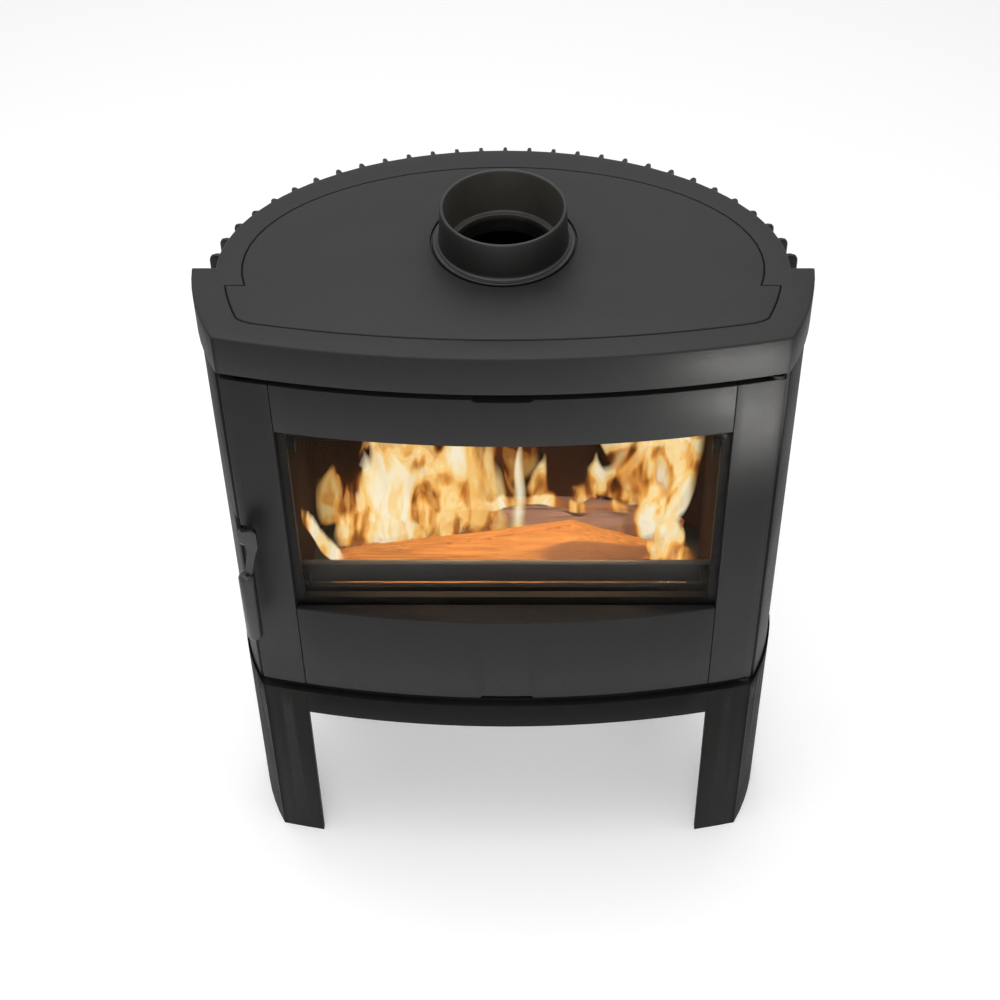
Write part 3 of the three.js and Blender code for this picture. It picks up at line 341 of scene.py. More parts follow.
def flameGas():
    # across is how far in from a sheet's sides, up how far from its foot, and "tone" how hot it burns there
    v = gas
    f = Finish("flameGas", Roughness=1.0)
    f.shader.inputs["Base Color"].default_value = (0, 0, 0, 1)
    f.shader.inputs["Specular IOR Level"].default_value = 0.0
    f.shader.inputs["Emission Strength"].default_value = 1.0
    uv = f.nodes.new("ShaderNodeUVMap")
    uv.uv_map = "flame"
    split = f.nodes.new("ShaderNodeSeparateXYZ")
    f.links.new(uv.outputs["UV"], split.inputs["Vector"])
    across, up = split.outputs["X"], split.outputs["Y"]
    tone = f.nodes.new("ShaderNodeAttribute")
    tone.attribute_name = "tone"
    hot = tone.outputs["Fac"]
    # the gas curls: two noises stretched upward and bent
    wisps = f.noise(15, 2, 0.5, f.stretched((1, 1, 0.36), (0, 0.3, 0)), 1.3)
    threads = f.noise(46, 2, 0.5, f.stretched((1, 1, 0.2), (0, -0.25, 0)), 1.0)
    flow = f.math("ADD", wisps, f.math("MULTIPLY", f.math("SUBTRACT", threads, 0.5), v["threads"]))
    foot = f.remap(up, 0.0, v["foot"], 0, 1)
    # tongues reach the outline where the flow is strong and stop short where it is weak
    further = f.math("MULTIPLY", f.remap(flow, 0.36, 0.60, 0, 1), v["further"])
    tip = f.remap(f.math("SUBTRACT", f.math("ADD", v["reach"], further), up), 0.0, v["tip"], 0, 1)
    gaps = f.remap(flow, 0.34, 0.46, v["thin"], 1)
    body = f.math("MULTIPLY", f.math("MULTIPLY", foot, tip), f.math("MULTIPLY", gaps, across))
    f.link(f.math("MULTIPLY", body, f.remap(hot, 0, 1, v["faint"], v["dense"])), "Alpha")
    core = f.remap(flow, 0.38, 0.62, -0.36, 0.46)
    bend = f.math("ABSOLUTE", f.math("SUBTRACT", flow, 0.5))
    vein = f.remap(bend, 0.0, 0.03, v["vein"], 0)
    rim = f.remap(up, 0.5, 1.0, 0, v["rim"])
    glow = f.math("ADD", f.math("MULTIPLY", hot, v["heat"]), f.math("ADD", core, vein))
    colour = f.ramp(f.math("ADD", glow, rim), [
        (0.02, (0.20, 0.045, 0.006)), (0.22, (0.58, 0.20, 0.03)), (0.40, (0.90, 0.44, 0.10)),
        (0.56, (1.0, 0.60, 0.18)), (0.72, (1.0, 0.77, 0.37)), (0.92, (1.0, 0.92, 0.70)),
    ])
    f.link(colour, "Emission Color")
    return f.material


# Three shades of fibre for each log
litShades = ((0.20, 0.088, 0.028), (0.37, 0.175, 0.058), (0.52, 0.28, 0.105))
charredShades = ((0.05, 0.033, 0.034), (0.10, 0.068, 0.068), (0.17, 0.12, 0.11))
finishes = {
    "iron": paintedCastIron(),
    # painted light: a lighter copy of the stove paint for the log retainer behind the glass
    "litRetainerIron": paintedCastIron("retainerLitPaint", tone=1.45, shine=0.28),
    # painted shade: a darker, duller copy of the stove paint for the base frame and rear legs
    "shadeDarkIron": paintedCastIron("shadeDarkPaint", tone=0.46, shine=0.05),
    "dark": firedIronAndShade(),
    "collar": turnedCollar(),
    "sheet": sheetSteel(),
    "bright": machinedSteel(),
    "handle": handleBlack(),
    "glass": stoveGlass(),
    "rope": braidedRope(),
    "brick": sootedBrick(),
    "wood": splitWood("litWood", "log_front", litShades, char=0.24, under=0.0675),
    "charredWood": splitWood("charredWood", "log_rear", charredShades, char=0.34, under=0.2),
    "embers": glowingEmbers(),
    "flame": flameGas(),
}
print("finishes made")


def fromMesh(name, mesh, body, smooth):
    piece = bpy.data.objects.new(name, mesh)
    scene.collection.objects.link(piece)
    for face in mesh.polygons:
        face.use_smooth = True
    mesh.set_sharp_from_angle(angle=math.radians(smooth))
    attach(piece, body)
    return piece


def toPiece(name, bm, finish, body, smooth):
    mesh = bpy.data.meshes.new(name)
    bm.to_mesh(mesh)
    bm.free()
    mesh.materials.append(finishes[finish])
    return fromMesh(name, mesh, body, smooth)


def cadMesh(node):
    bm = bmesh.new()
    bm.from_mesh(frame["nodes"][node].data)
    bmesh.ops.remove_doubles(bm, verts=bm.verts, dist=weld)
    return bm


# Castings take the CAD shape with its arrises eased: (finish, slot, ease in mm)
castings = {
    "top_rim": ("iron", "cast_iron", 1.2),
    "top_plate": ("iron", "cast_iron", 0.5),
    "flue_collar": ("collar", "dark_iron", 0.4),
    "rear_shell": ("iron", "cast_iron", 0.8),
    "cheek_left": ("iron", "cast_iron", 1.2),
    "cheek_right": ("iron", "cast_iron", 1.2),
    "base_frame": ("shadeDarkIron", "cast_iron", 1.6),
    "rear_leg_left": ("shadeDarkIron", "cast_iron", 1.2),
    "rear_leg_right": ("shadeDarkIron", "cast_iron", 1.2),
    "door_stile_left": ("iron", "cast_iron", 1.1),
    "door_stile_right": ("iron", "cast_iron", 1.1),
    "door_rail_top": ("iron", "cast_iron", 1.1),
    "door_rail_bottom": ("iron", "cast_iron", 1.4),
    "log_retainer": ("litRetainerIron", "dark_iron", 0.8),
    "ash_lip": ("iron", "dark_iron", 0.8),
    "handle_lever": ("handle", "handle_black", 0.8),
    "handle_grip": ("handle", "handle_black", 0.4),
}
# For all castings, in degrees: faces that differ by less than "flat" are one, edges bent more than
# "sharp" are eased, and faces meet smoothly up to "smooth"
easing = {"flat": 0.25, "sharp": 38, "smooth": 32, "segments": 2}
bodies = frame["record"]["behaviour"]["bodies"]
bodyOf = {node: body for body, nodes in bodies.items() for node in nodes}


# The fins' rounded upper corners, from "foot" up, are squeezed and stand higher between the depths "from"
# and "full", because the tops of the rear fins show over the rim
finTops = {"foot": 0.9245, "top": 0.934, "raised": 0.939, "squeeze": 0.667, "from": 0.09, "full": 0.15}


def raiseFins(bm, v):
    for vert in bm.verts:
        p = vert.co
        share = max(0, min(1, (p.y - v["from"]) / (v["full"] - v["from"])))
        if p.z > v["foot"]:
            p.z += share * (v["raised"] - (v["top"] - p.z) * v["squeeze"] - p.z)


def easedCasting(node, finish, ease, v):
    bm = cadMesh(node)
    if node == "rear_shell":
        raiseFins(bm, finTops)
    bmesh.ops.dissolve_limit(bm, angle_limit=math.radians(v["flat"]), verts=bm.verts, edges=bm.edges)
    bent = math.radians(v["sharp"])
    sharp = [e for e in bm.edges if len(e.link_faces) == 2 and e.calc_face_angle(0) > bent]
    bmesh.ops.bevel(
        bm, geom=sharp, offset=ease * mm, offset_type="OFFSET", segments=v["segments"], profile=0.5,
        affect="EDGES", clamp_overlap=True, harden_normals=False,
    )
    bmesh.ops.triangulate(bm, faces=[f for f in bm.faces if len(f.verts) > 4])
    piece = toPiece(f"{node}_cast", bm, finish, bodyOf[node], smooth=v["smooth"])
    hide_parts(node)


for node, (finish, slot, ease) in castings.items():
    easedCasting(node, finish, ease, easing)
print("castings eased")

# Nodes that keep the CAD shape, by finish
plainNodes = {
    "dark": [
        "front_frame", "hearth", "grate", "door_frame", "base_plate", "firebox_casing", "airwash_channel",
        "airwash_slide", "hinge_bracket_top", "hinge_bracket_bottom", "hinge_pin_top", "hinge_pin_bottom",
        "glass_clip_left_lower", "glass_clip_left_upper", "glass_clip_right_lower", "glass_clip_right_upper",
    ],
    "sheet": ["firebox_top", "flue_ring", "ash_chamber", "ash_pan", "primary_air_slide"],
    "bright": ["handle_pin", "latch_keeper"],
    "glass": ["door_glass"],
    "brick": ["liner_left", "liner_right", "liner_corner_left", "liner_corner_right", "liner_back", "baffle"],
}
for finish, nodes in plainNodes.items():
    for node in nodes:
        slots = frame["nodes"][node].data.materials
        slots.clear()
        slots.append(finishes[finish])


# A geometry-node graph: "Stock" is the mesh it starts from, the other inputs are named numbers
class Graph:
    def __init__(self, name, **inputs):
        self.tree = bpy.data.node_groups.new(name, "GeometryNodeTree")
        make = self.tree.interface.new_socket
        make("Stock", in_out="INPUT", socket_type="NodeSocketGeometry")
        self.values = {}
        for label, value in inputs.items():
            kind = "NodeSocketInt" if isinstance(value, int) else "NodeSocketFloat"
            self.values[make(label, in_out="INPUT", socket_type=kind).identifier] = value
        make("Result", in_out="OUTPUT", socket_type="NodeSocketGeometry")
        self.input = self.tree.nodes.new("NodeGroupInput").outputs
        self.output = self.tree.nodes.new("NodeGroupOutput").inputs["Result"]

    def node(self, kind, sockets=None, **settings):
        node = self.tree.nodes.new(kind)
        for key, value in settings.items():
            setattr(node, key, value)
        for key, value in (sockets or {}).items():
            if isinstance(value, bpy.types.NodeSocket):
                self.tree.links.new(value, node.inputs[key])
            else:
                node.inputs[key].default_value = value
        return node

    def math(self, operation, a, b=0.0):
        return self.node("ShaderNodeMath", {0: a, 1: b}, operation=operation).outputs[0]

    def vector(self, operation, a, b):
        sockets = {0: a, ("Scale" if operation == "SCALE" else 1): b}
        return self.node("ShaderNodeVectorMath", sockets, operation=operation).outputs[0]

    # makes the copies real, sets the finish and gives the outcome as a plain mesh
    def run(self, geometry, stock, finish):
        real = self.node("GeometryNodeRealizeInstances", {"Geometry": geometry}).outputs[0]
        done = self.node("GeometryNodeSetMaterial", {"Geometry": real, "Material": finishes[finish]})
        self.tree.links.new(done.outputs[0], self.output)
        source = bpy.data.objects.new("stock", stock)
        scene.collection.objects.link(source)
        modifier = source.modifiers.new("graph", "NODES")
        modifier.node_group = self.tree
        for identifier, value in self.values.items():
            modifier[identifier] = value
        settled = source.evaluated_get(bpy.context.evaluated_depsgraph_get())
        mesh = bpy.data.meshes.new_from_object(settled)
        bpy.data.objects.remove(source)
        return mesh


# Split logs: the CAD log, cut fine and torn along the grain; "cut" is the depth of the tears
logs = {
    "log_front": {"finish": "wood", "cut": 1.8 * mm, "splinter": 1.0 * mm, "seed": 3.0},
    "log_rear": {"finish": "charredWood", "cut": 2.6 * mm, "splinter": 1.2 * mm, "seed": 8.0},
}


# For both logs: edges over "longest" are halved this many times, and each pattern repeats so often in a
# metre along the grain and across it
logGrain = {
    "passes": 4, "longest": 7 * mm, "knotShare": 0.6,
    "fibre": (7, 150), "splinter": (22, 420), "knot": (26, 30),
}


def grainNoise(p, pattern, seed):
    along, across = logGrain[pattern]
    return noise.noise(Vector((p.x * along, p.y * across, p.z * across + seed)))


def splitLog(node, v):
    bm = cadMesh(node)
    for _ in range(logGrain["passes"]):
        long = [edge for edge in bm.edges if edge.calc_length() > logGrain["longest"]]
        bmesh.ops.subdivide_edges(bm, edges=long, cuts=1, use_grid_fill=True)
        bmesh.ops.triangulate(bm, faces=[f for f in bm.faces if len(f.verts) > 3])
    bm.normal_update()
    moves = {}
    for vert in bm.verts:
        fibre = 0.5 + 0.5 * grainNoise(vert.co, "fibre", v["seed"])
        splinter = abs(grainNoise(vert.co, "splinter", v["seed"]))
        knot = 0.5 + 0.5 * grainNoise(vert.co, "knot", v["seed"])
        depth = v["cut"] * (fibre ** 2 + logGrain["knotShare"] * knot) + v["splinter"] * splinter
        moves[vert] = vert.co - vert.normal * depth
    for vert, place in moves.items():
        vert.co = place
    piece = toPiece(f"{node}_split", bm, v["finish"], bodyOf[node], smooth=50)
    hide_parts(node)


for node, values in logs.items():
    splitLog(node, values)
print("logs split")


# Embers on the grate: a lumpy bed, and coals scattered over it. "slope" is how soon the bed rises from
# its rim, and "lumps", "crumbs" and "crags" how fine each roughness is
emberBed = {
    "halfWidth": 0.236, "front": -0.112, "back": 0.088, "height": 0.020, "lift": 0.4 * mm,
    "columns": 90, "rows": 40, "slope": 6, "lumps": 60, "crumbs": 150,
    "coalsPerSquareMetre": 4200.0, "smallest": 0.0045, "largest": 0.011, "seed": 5,
    "squat": (1.25, 0.9, 0.7), "turn": 6.28, "crags": 130.0, "cragDepth": 0.008,
}


def emberHeight(v, s, t):
    x = v["halfWidth"] * (2 * s - 1)
    y = v["front"] + (v["back"] - v["front"]) * t
    fade = min(1, *(v["slope"] * way for way in (s, 1 - s, t, 1 - t)))
    lump = 0.5 + 0.5 * noise.noise(Vector((x * v["lumps"], y * v["lumps"], 3)))
    crumb = 0.5 + 0.5 * noise.noise(Vector((x * v["crumbs"], y * v["crumbs"], 9)))
    return x, y, fade * v["height"] * (0.25 + 0.5 * lump + 0.3 * crumb)


def emberGrid(v, bm, floor):
    grid = []
    for j in range(v["rows"] + 1):
        row = []
        for i in range(v["columns"] + 1):
            x, y, rise = emberHeight(v, i / v["columns"], j / v["rows"])
            row.append(bm.verts.new((x, y, floor + rise)))
        grid.append(row)
    for a, b in zip(grid, grid[1:]):
        for i in range(v["columns"]):
            bm.faces.new((a[i], a[i + 1], b[i + 1], b[i]))
    return grid


def buildEmbers(v):
    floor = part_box("grate")[1].z + v["lift"]
    bm = bmesh.new()
    grid = emberGrid(v, bm, floor)
    rim = grid[0] + [row[-1] for row in grid[1:]] + grid[-1][-2::-1] + [row[0] for row in grid[-2:0:-1]]
    base = [bm.verts.new((p.co.x, p.co.y, floor)) for p in rim]
    for i in range(len(rim)):
        k = (i + 1) % len(rim)
        bm.faces.new((rim[k], rim[i], base[i], base[k]))
    bm.faces.new(base[::-1])
    bmesh.ops.recalc_face_normals(bm, faces=bm.faces)
    bmesh.ops.triangulate(bm, faces=[f for f in bm.faces if len(f.verts) > 4])
    toPiece("ember_bed", bm, "embers", "body", smooth=60)


def scatterCoals(v):
    bm = bmesh.new()
    emberGrid(v, bm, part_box("grate")[1].z + v["lift"])
    stock = bpy.data.meshes.new("coalStock")
    bm.to_mesh(stock)
    bm.free()
    g = Graph(
        "coals", Density=v["coalsPerSquareMetre"], Smallest=v["smallest"], Largest=v["largest"],
        Seed=v["seed"],
    )
    points = g.node("GeometryNodeDistributePointsOnFaces", {
        "Mesh": g.input["Stock"], "Density": g.input["Density"], "Seed": g.input["Seed"],
    }).outputs["Points"]
    lump = g.node("GeometryNodeMeshIcoSphere", {"Radius": 1.0, "Subdivisions": 3}).outputs["Mesh"]
    size = g.node("FunctionNodeRandomValue", {2: g.input["Smallest"], 3: g.input["Largest"]}).outputs[1]
    turn = g.node(
        "FunctionNodeRandomValue", {0: (0.0, 0.0, 0.0), 1: (v["turn"],) * 3}, data_type="FLOAT_VECTOR",
    ).outputs[0]
    even = g.node("ShaderNodeCombineXYZ", {0: size, 1: size, 2: size}).outputs[0]
    coals = g.node("GeometryNodeInstanceOnPoints", {
        "Points": points, "Instance": lump, "Rotation": turn,
        "Scale": g.vector("MULTIPLY", even, v["squat"]),
    }).outputs[0]
    loose = g.node("GeometryNodeRealizeInstances", {"Geometry": coals}).outputs[0]
    crag = g.node("ShaderNodeTexNoise", {"Scale": v["crags"], "Detail": 3.0}).outputs["Fac"]
    push = g.math("MULTIPLY", g.math("SUBTRACT", crag, 0.5), v["cragDepth"])
    away = g.vector("SCALE", g.node("GeometryNodeInputNormal").outputs[0], push)
    broken = g.node("GeometryNodeSetPosition", {"Geometry": loose, "Offset": away}).outputs[0]
    fromMesh("coals", g.run(broken, stock, "embers"), "body", smooth=35)


buildEmbers(emberBed)
scatterCoals(emberBed)
print("embers laid")


# Door rope: strands plaited round the track that the CAD gasket fills
rope = {
    "strands": 4, "strandRadius": 1.55 * mm, "swing": 2.7 * mm, "rise": 1.1 * mm, "pitch": 17.0 * mm,
    "inset": 4.5 * mm, "corner": 14 * mm, "cornerSteps": 6, "samples": 900, "sides": 8,
}


# The middle of the rope, all round the back of the door
def ropeTrack(v):
    low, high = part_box("door_gasket")
    right, bottom, top = high.x - v["inset"], low.z + v["inset"], high.z - v["inset"]
    y, corner = (low.y + high.y) / 2, v["corner"]
    track = []
    for x, z, start in ((right, top, 0), (-right, top, 90), (-right, bottom, 180), (right, bottom, 270)):
        centreX = x - math.copysign(corner, x)
        centreZ = z - corner * (1 if z == top else -1)
        for step in range(v["cornerSteps"] + 1):
            angle = math.radians(start + 90 / v["cornerSteps"] * step)
            track.append((centreX + corner * math.cos(angle), y, centreZ + corner * math.sin(angle)))
    stock = bpy.data.meshes.new("ropeTrack")
    stock.from_pydata(track, [(i, (i + 1) % len(track)) for i in range(len(track))], [])
    return stock


def plaitRope(v):
    stock = ropeTrack(v)
    g = Graph(
        "plait", Strands=v["strands"], Radius=v["strandRadius"], Swing=v["swing"], Rise=v["rise"],
        Pitch=v["pitch"],
    )
    line = g.node("GeometryNodeMeshToCurve", {"Mesh": g.input["Stock"]}).outputs[0]
    fine = g.node("GeometryNodeResampleCurve", {"Curve": line, "Count": v["samples"]}).outputs[0]
    copies = g.node(
        "GeometryNodeDuplicateElements", {"Geometry": fine, "Amount": g.input["Strands"]}, domain="SPLINE",
    )
    along = g.node("GeometryNodeSplineParameter").outputs["Length"]
    lap = g.math("DIVIDE", copies.outputs["Duplicate Index"], g.input["Strands"])
    phase = g.math("MULTIPLY", g.math("ADD", g.math("DIVIDE", along, g.input["Pitch"]), lap), 2 * math.pi)
    tangent = g.node("GeometryNodeInputTangent").outputs[0]
    outward = g.vector("CROSS_PRODUCT", tangent, (0.0, 1.0, 0.0))
    side = g.vector("SCALE", outward, g.math("MULTIPLY", g.math("SINE", phase), g.input["Swing"]))
    lift = g.math("MULTIPLY", g.math("SINE", g.math("MULTIPLY", phase, 2.0)), g.input["Rise"])
    offset = g.vector("ADD", side, g.vector("SCALE", (0.0, 1.0, 0.0), lift))
    plait = g.node("GeometryNodeSetPosition", {
        "Geometry": copies.outputs["Geometry"], "Offset": offset,
    }).outputs[0]
    section = g.node("GeometryNodeCurvePrimitiveCircle", {
        "Resolution": v["sides"], "Radius": g.input["Radius"],
    }).outputs[0]
    tube = g.node("GeometryNodeCurveToMesh", {
        "Curve": plait, "Profile Curve": section, "Fill Caps": True,
    }).outputs[0]
    piece = fromMesh("gasket_rope", g.run(tube, stock, "rope"), "door", smooth=60)
    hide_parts("door_gasket")


plaitRope(rope)
print("rope plaited")


# Flames: upright sheets of gas, which fade within "edge" of their sides. A sheet "columnsFor" wide has
# "columns" of them. "drift" and "bulge" bend the sheets sideways and in depth: how often across and up a
# metre, the step from sheet to sheet, and its start.
# Each sheet has its depth (Y), how far its tips lean back, and an outline from left to right:
# (X, foot, tip, heat), in metres
flames = {
    "columns": 150,
    "columnsFor": 0.27,
    "fewestColumns": 14,
    "rows": 22,
    "sway": 0.016,
    "drift": (14, 11, 3.7, 0),
    "bulge": (30, 16, 5.1, 9),
    "edge": 0.010,
    "fromWall": 4 * mm,
    "fromBaffle": 3 * mm,
    "sheets": {
        "mainBack": (0.016, 0.02, [
            (-0.258, 0.450, 0.510, 0.20), (-0.240, 0.450, 0.566, 0.36), (-0.205, 0.440, 0.585, 0.42),
            (-0.188, 0.440, 0.640, 0.50), (-0.165, 0.440, 0.700, 0.70), (-0.120, 0.440, 0.716, 0.80),
            (-0.080, 0.440, 0.712, 0.80), (-0.052, 0.440, 0.680, 0.62), (-0.036, 0.440, 0.620, 0.50),
            (-0.014, 0.440, 0.580, 0.42), (0.000, 0.440, 0.530, 0.34), (0.010, 0.440, 0.470, 0.20),
        ]),
        "mainMiddle": (0.004, 0.01, [
            (-0.235, 0.436, 0.470, 0.30), (-0.215, 0.436, 0.560, 0.42), (-0.192, 0.436, 0.585, 0.62),
            (-0.172, 0.436, 0.690, 0.80), (-0.130, 0.436, 0.700, 0.95), (-0.098, 0.436, 0.660, 0.80),
            (-0.074, 0.436, 0.700, 0.92), (-0.054, 0.436, 0.650, 0.75), (-0.034, 0.436, 0.590, 0.60),
            (-0.012, 0.436, 0.560, 0.50), (0.004, 0.436, 0.490, 0.30),
        ]),
        "mainFront": (-0.004, 0.01, [
            (-0.230, 0.430, 0.460, 0.50), (-0.212, 0.430, 0.540, 0.90), (-0.190, 0.430, 0.600, 1.00),
            (-0.168, 0.430, 0.520, 0.85), (-0.142, 0.430, 0.640, 0.80), (-0.112, 0.430, 0.600, 0.75),
            (-0.092, 0.430, 0.660, 0.85), (-0.070, 0.430, 0.560, 0.72), (-0.046, 0.430, 0.560, 0.62),
            (-0.020, 0.430, 0.500, 0.50), (0.000, 0.430, 0.460, 0.30),
        ]),
        "footLeft": (-0.010, 0.0, [
            (-0.232, 0.430, 0.450, 0.60), (-0.220, 0.430, 0.520, 1.00), (-0.198, 0.430, 0.530, 1.00),
            (-0.180, 0.430, 0.480, 0.80), (-0.150, 0.430, 0.500, 0.70), (-0.120, 0.430, 0.475, 0.70),
            (-0.095, 0.430, 0.500, 0.62), (-0.060, 0.430, 0.474, 0.55), (-0.030, 0.430, 0.492, 0.50),
            (-0.008, 0.430, 0.460, 0.30),
        ]),
        "whiteTongue": (-0.012, 0.01, [
            (0.003, 0.440, 0.470, 0.20), (0.010, 0.440, 0.560, 0.70), (0.014, 0.440, 0.640, 0.90),
            (0.020, 0.440, 0.590, 0.80), (0.026, 0.440, 0.480, 0.20),
        ]),
        "smokeCentre": (0.030, 0.02, [
            (-0.060, 0.490, 0.600, 0.02), (-0.030, 0.490, 0.690, 0.12), (0.000, 0.500, 0.700, 0.16),
            (0.030, 0.520, 0.690, 0.10), (0.045, 0.540, 0.600, 0.02),
        ]),
        "overRearLog": (0.022, 0.004, [
            (0.024, 0.480, 0.500, 0.40), (0.034, 0.480, 0.540, 0.80), (0.043, 0.480, 0.566, 0.92),
            (0.056, 0.480, 0.526, 0.72), (0.078, 0.480, 0.516, 0.60), (0.096, 0.480, 0.524, 0.70),
            (0.110, 0.480, 0.545, 0.82), (0.121, 0.480, 0.586, 0.92), (0.131, 0.480, 0.542, 0.80),
            (0.152, 0.480, 0.556, 0.72), (0.175, 0.480, 0.570, 0.60),
        ]),
        "rearLogEdge": (0.012, 0.0, [
            (-0.215, 0.480, 0.500, 0.80), (-0.150, 0.480, 0.508, 1.00), (0.000, 0.480, 0.508, 1.00),
            (0.100, 0.480, 0.510, 1.00), (0.170, 0.480, 0.504, 0.80),
        ]),
        "diagonalTongue": (0.010, 0.01, [
            (0.110, 0.640, 0.665, 0.30), (0.125, 0.590, 0.690, 0.62), (0.142, 0.550, 0.690, 0.75),
            (0.160, 0.510, 0.640, 0.80), (0.178, 0.470, 0.610, 0.80), (0.195, 0.450, 0.560, 0.60),
        ]),
        "rightBack": (0.020, 0.02, [
            (0.140, 0.450, 0.540, 0.30), (0.160, 0.440, 0.640, 0.60), (0.180, 0.440, 0.705, 0.85),
            (0.210, 0.440, 0.716, 0.95), (0.234, 0.460, 0.712, 0.85), (0.248, 0.540, 0.700, 0.60),
            (0.256, 0.600, 0.660, 0.30),
        ]),
        "rightMiddle": (-0.010, 0.01, [
            (0.148, 0.436, 0.480, 0.40), (0.163, 0.436, 0.590, 0.75), (0.178, 0.436, 0.690, 0.90),
            (0.200, 0.436, 0.705, 1.00), (0.222, 0.446, 0.690, 1.00), (0.238, 0.490, 0.670, 0.80),
            (0.252, 0.550, 0.640, 0.40),
        ]),
        "rightFront": (-0.060, 0.0, [
            (0.188, 0.432, 0.450, 0.40), (0.202, 0.432, 0.520, 0.75), (0.220, 0.432, 0.570, 0.95),
            (0.240, 0.432, 0.545, 1.00), (0.254, 0.432, 0.490, 0.70),
        ]),
        "leftRibbon": (-0.108, 0.0, [
            (-0.262, 0.578, 0.622, 0.70), (-0.252, 0.556, 0.614, 1.00), (-0.240, 0.528, 0.586, 1.00),
            (-0.226, 0.500, 0.546, 1.00), (-0.211, 0.484, 0.516, 0.80),
        ]),
    },
}


def gasNoise(pattern, x, z, order):
    across, up, step, start = pattern
    return noise.noise(Vector((x * across, z * up, order * step + start)))


# The foot, the tip and the heat that a sheet's outline has at x
def outlineAt(outline, x):
    right = next((k for k in range(1, len(outline)) if outline[k][0] >= x - 1e-9), len(outline) - 1)
    a, b = outline[right - 1], outline[right]
    share = (x - a[0]) / (b[0] - a[0])
    return [p + (q - p) * share for p, q in zip(a[1:], b[1:])]


# One upright row of a sheet: each vertex, with how far it is in from the sides and up from the foot
def flameColumn(v, bm, tone, order, sheet, x):
    depth, lean, outline = sheet
    foot, tip, heat = outlineAt(outline, x)
    inward = min(1, (x - outline[0][0]) / v["edge"], (outline[-1][0] - x) / v["edge"])
    column = []
    for j in range(v["rows"] + 1):
        t = j / v["rows"]
        z = foot + (tip - foot) * t
        side = x + v["sway"] * gasNoise(v["drift"], x, z, order) * min(1, 2 * t)
        deep = depth + lean * t + v["sway"] * gasNoise(v["bulge"], x, z, order)
        vert = bm.verts.new((side, deep, z))
        vert[tone] = heat
        column.append((vert, max(0, inward), t))
    return column


# Gas that would pass through the side liners or the baffle stops short of them
def keepInside(v, bm):
    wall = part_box("liner_right")[0].x - v["fromWall"]
    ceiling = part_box("baffle")[0].z - v["fromBaffle"]
    for vert in bm.verts:
        vert.co.x = max(-wall, min(wall, vert.co.x))
        vert.co.z = min(ceiling, vert.co.z)


def buildFlames(v):
    bm = bmesh.new()
    uv = bm.loops.layers.uv.new("flame")
    tone = bm.verts.layers.float.new("tone")
    for order, sheet in enumerate(v["sheets"].values()):
        outline = sheet[2]
        width = outline[-1][0] - outline[0][0]
        count = max(v["fewestColumns"], round(v["columns"] * width / v["columnsFor"]))
        places = [outline[0][0] + width * i / count for i in range(count + 1)]
        columns = [flameColumn(v, bm, tone, order, sheet, x) for x in places]
        for left, right in zip(columns, columns[1:]):
            for j in range(v["rows"]):
                corners = (left[j], right[j], right[j + 1], left[j + 1])
                face = bm.faces.new([vert for vert, _, _ in corners])
                for loop, (_, inward, t) in zip(face.loops, corners):
                    loop[uv].uv = (inward, t)
    keepInside(v, bm)
    toPiece("flames", bm, "flame", "body", smooth=180)


buildFlames(flames)
print("flames lit")


# Floor, light and camera
studio = {
    "floorSize": 14.0,
    "floorDrop": 0.4 * mm,
    "floorTone": 0.86,
    "floorRough": 0.9,
    "floorLift": 0.30,
    "world": 0.35,
    "camera": (0.03515, -1.84925, 2.39785),
    "tilt": 44.38,
    "lens": 70.76,
    "sensor": 36,
    "shift": -0.03317,
    # place, aim, width, length, spread in degrees, power, colour
    "lamps": {
        "overhead": ((-0.18, 0.38, 3.4), (0, 0, 0.6), 3.2, 3.2, 180, 83, (1, 1, 1)),
        "foreFloor": ((0, -1.9, 2.2), (0, -1.15, 0), 0.9, 0.4, 60, 3.6, (1, 1, 1)),
        "frontFill": ((-0.3, -3.4, 2.2), (0, 0, 0.6), 2.4, 2.4, 180, 20, (1, 1, 1)),
        "lowCard": ((0.385, -0.355, 0.73), (0.26, -0.17, 0.915), 0.12, 0.12, 100, 0.38, (1, 0.99, 0.96)),
        "fireGlow": ((0, -0.09, 0.775), (0, -0.04, 0.47), 0.42, 0.03, 60, 2.8, (1, 0.70, 0.42)),
    },
}


# One for what the camera, a shiny face or glass sees, and none for the light that falls on the stove
def seenRays(nodes, links):
    path = nodes.new("ShaderNodeLightPath")
    seen = path.outputs["Is Camera Ray"]
    for ray in ("Is Glossy Ray", "Is Transmission Ray"):
        either = nodes.new("ShaderNodeMath")
        either.operation = "MAXIMUM"
        links.new(seen, either.inputs[0])
        links.new(path.outputs[ray], either.inputs[1])
        seen = either.outputs[0]
    return seen


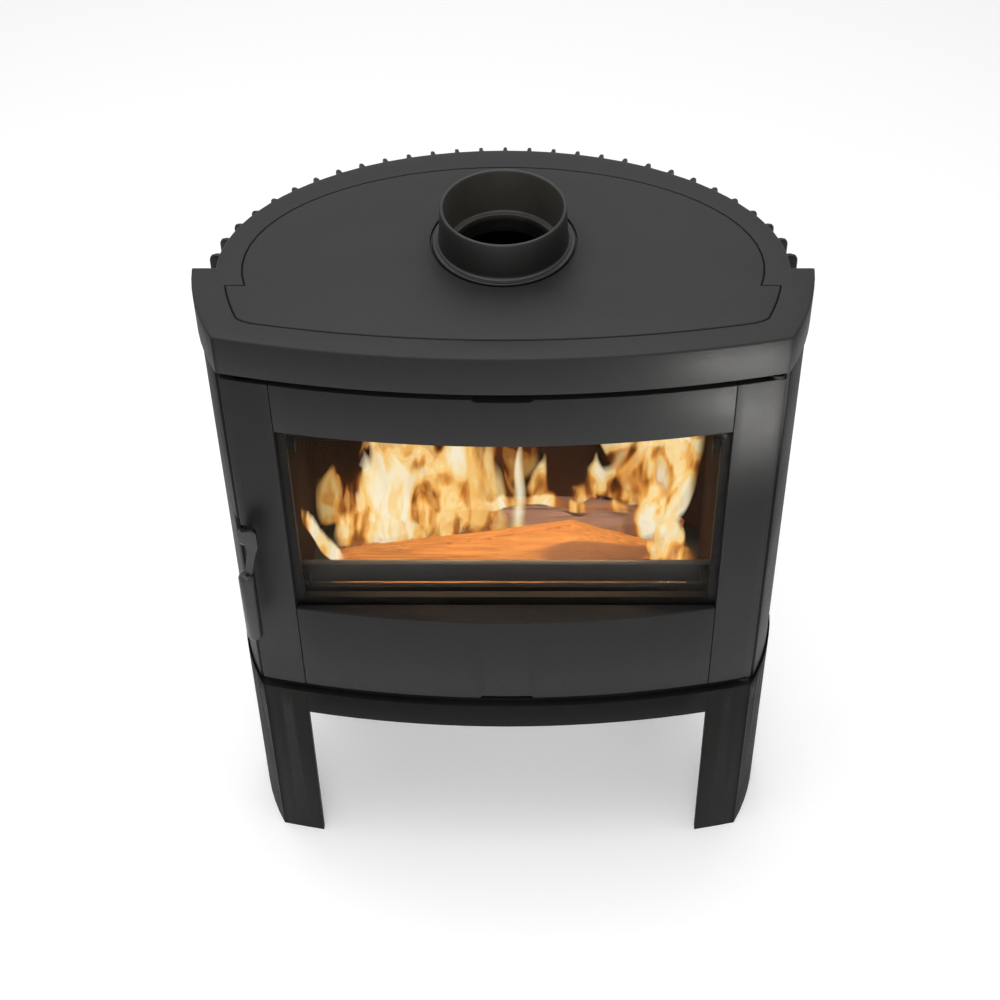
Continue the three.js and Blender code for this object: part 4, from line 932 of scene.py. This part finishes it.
def buildFloor(v):
    bpy.ops.mesh.primitive_plane_add(size=v["floorSize"], location=(0, 0, -v["floorDrop"]))
    floor = bpy.context.object
    floor.name = "floor"
    pale = bpy.data.materials.new("paleFloor")
    pale.use_nodes = True
    nodes, links = pale.node_tree.nodes, pale.node_tree.links
    shader = nodes["Principled BSDF"]
    shader.inputs["Base Color"].default_value = (v["floorTone"],) * 3 + (1,)
    shader.inputs["Roughness"].default_value = v["floorRough"]
    shader.inputs["Specular IOR Level"].default_value = 0.0
    shader.inputs["Emission Color"].default_value = (1, 1, 1, 1)
    lift = nodes.new("ShaderNodeMath")
    lift.operation = "MULTIPLY"
    lift.inputs[1].default_value = v["floorLift"]
    links.new(seenRays(nodes, links), lift.inputs[0])
    links.new(lift.outputs[0], shader.inputs["Emission Strength"])
    floor.data.materials.append(pale)


def buildWorld(v):
    world = bpy.data.worlds.new("studio")
    scene.world = world
    world.use_nodes = True
    nodes, links = world.node_tree.nodes, world.node_tree.links
    background = nodes["Background"]
    background.inputs["Color"].default_value = (1, 1, 1, 1)
    level = nodes.new("ShaderNodeMapRange")
    level.inputs["To Min"].default_value = v["world"]
    level.inputs["To Max"].default_value = 1.0
    links.new(seenRays(nodes, links), level.inputs["Value"])
    links.new(level.outputs["Result"], background.inputs["Strength"])


def buildLamps(v):
    for name, (place, aim, width, length, spread, power, colour) in v["lamps"].items():
        light = bpy.data.lights.new(name, "AREA")
        light.shape = "RECTANGLE"
        light.size = width
        light.size_y = length
        light.spread = math.radians(spread)
        light.energy = power
        light.color = colour
        lamp = bpy.data.objects.new(name, light)
        lamp.location = place
        lamp.rotation_euler = (Vector(aim) - Vector(place)).to_track_quat("-Z", "Y").to_euler()
        lamp.visible_camera = False
        scene.collection.objects.link(lamp)


def buildCamera(v):
    view = bpy.data.cameras.new("view")
    view.lens = v["lens"]
    view.sensor_width = v["sensor"]
    view.shift_x = v["shift"]
    camera = bpy.data.objects.new("view", view)
    camera.location = v["camera"]
    camera.rotation_euler = (math.radians(v["tilt"]), 0, 0)
    scene.collection.objects.link(camera)
    scene.camera = camera
    scene.view_settings.view_transform = "Standard"


buildFloor(studio)
buildWorld(studio)
buildLamps(studio)
buildCamera(studio)
print("studio set")
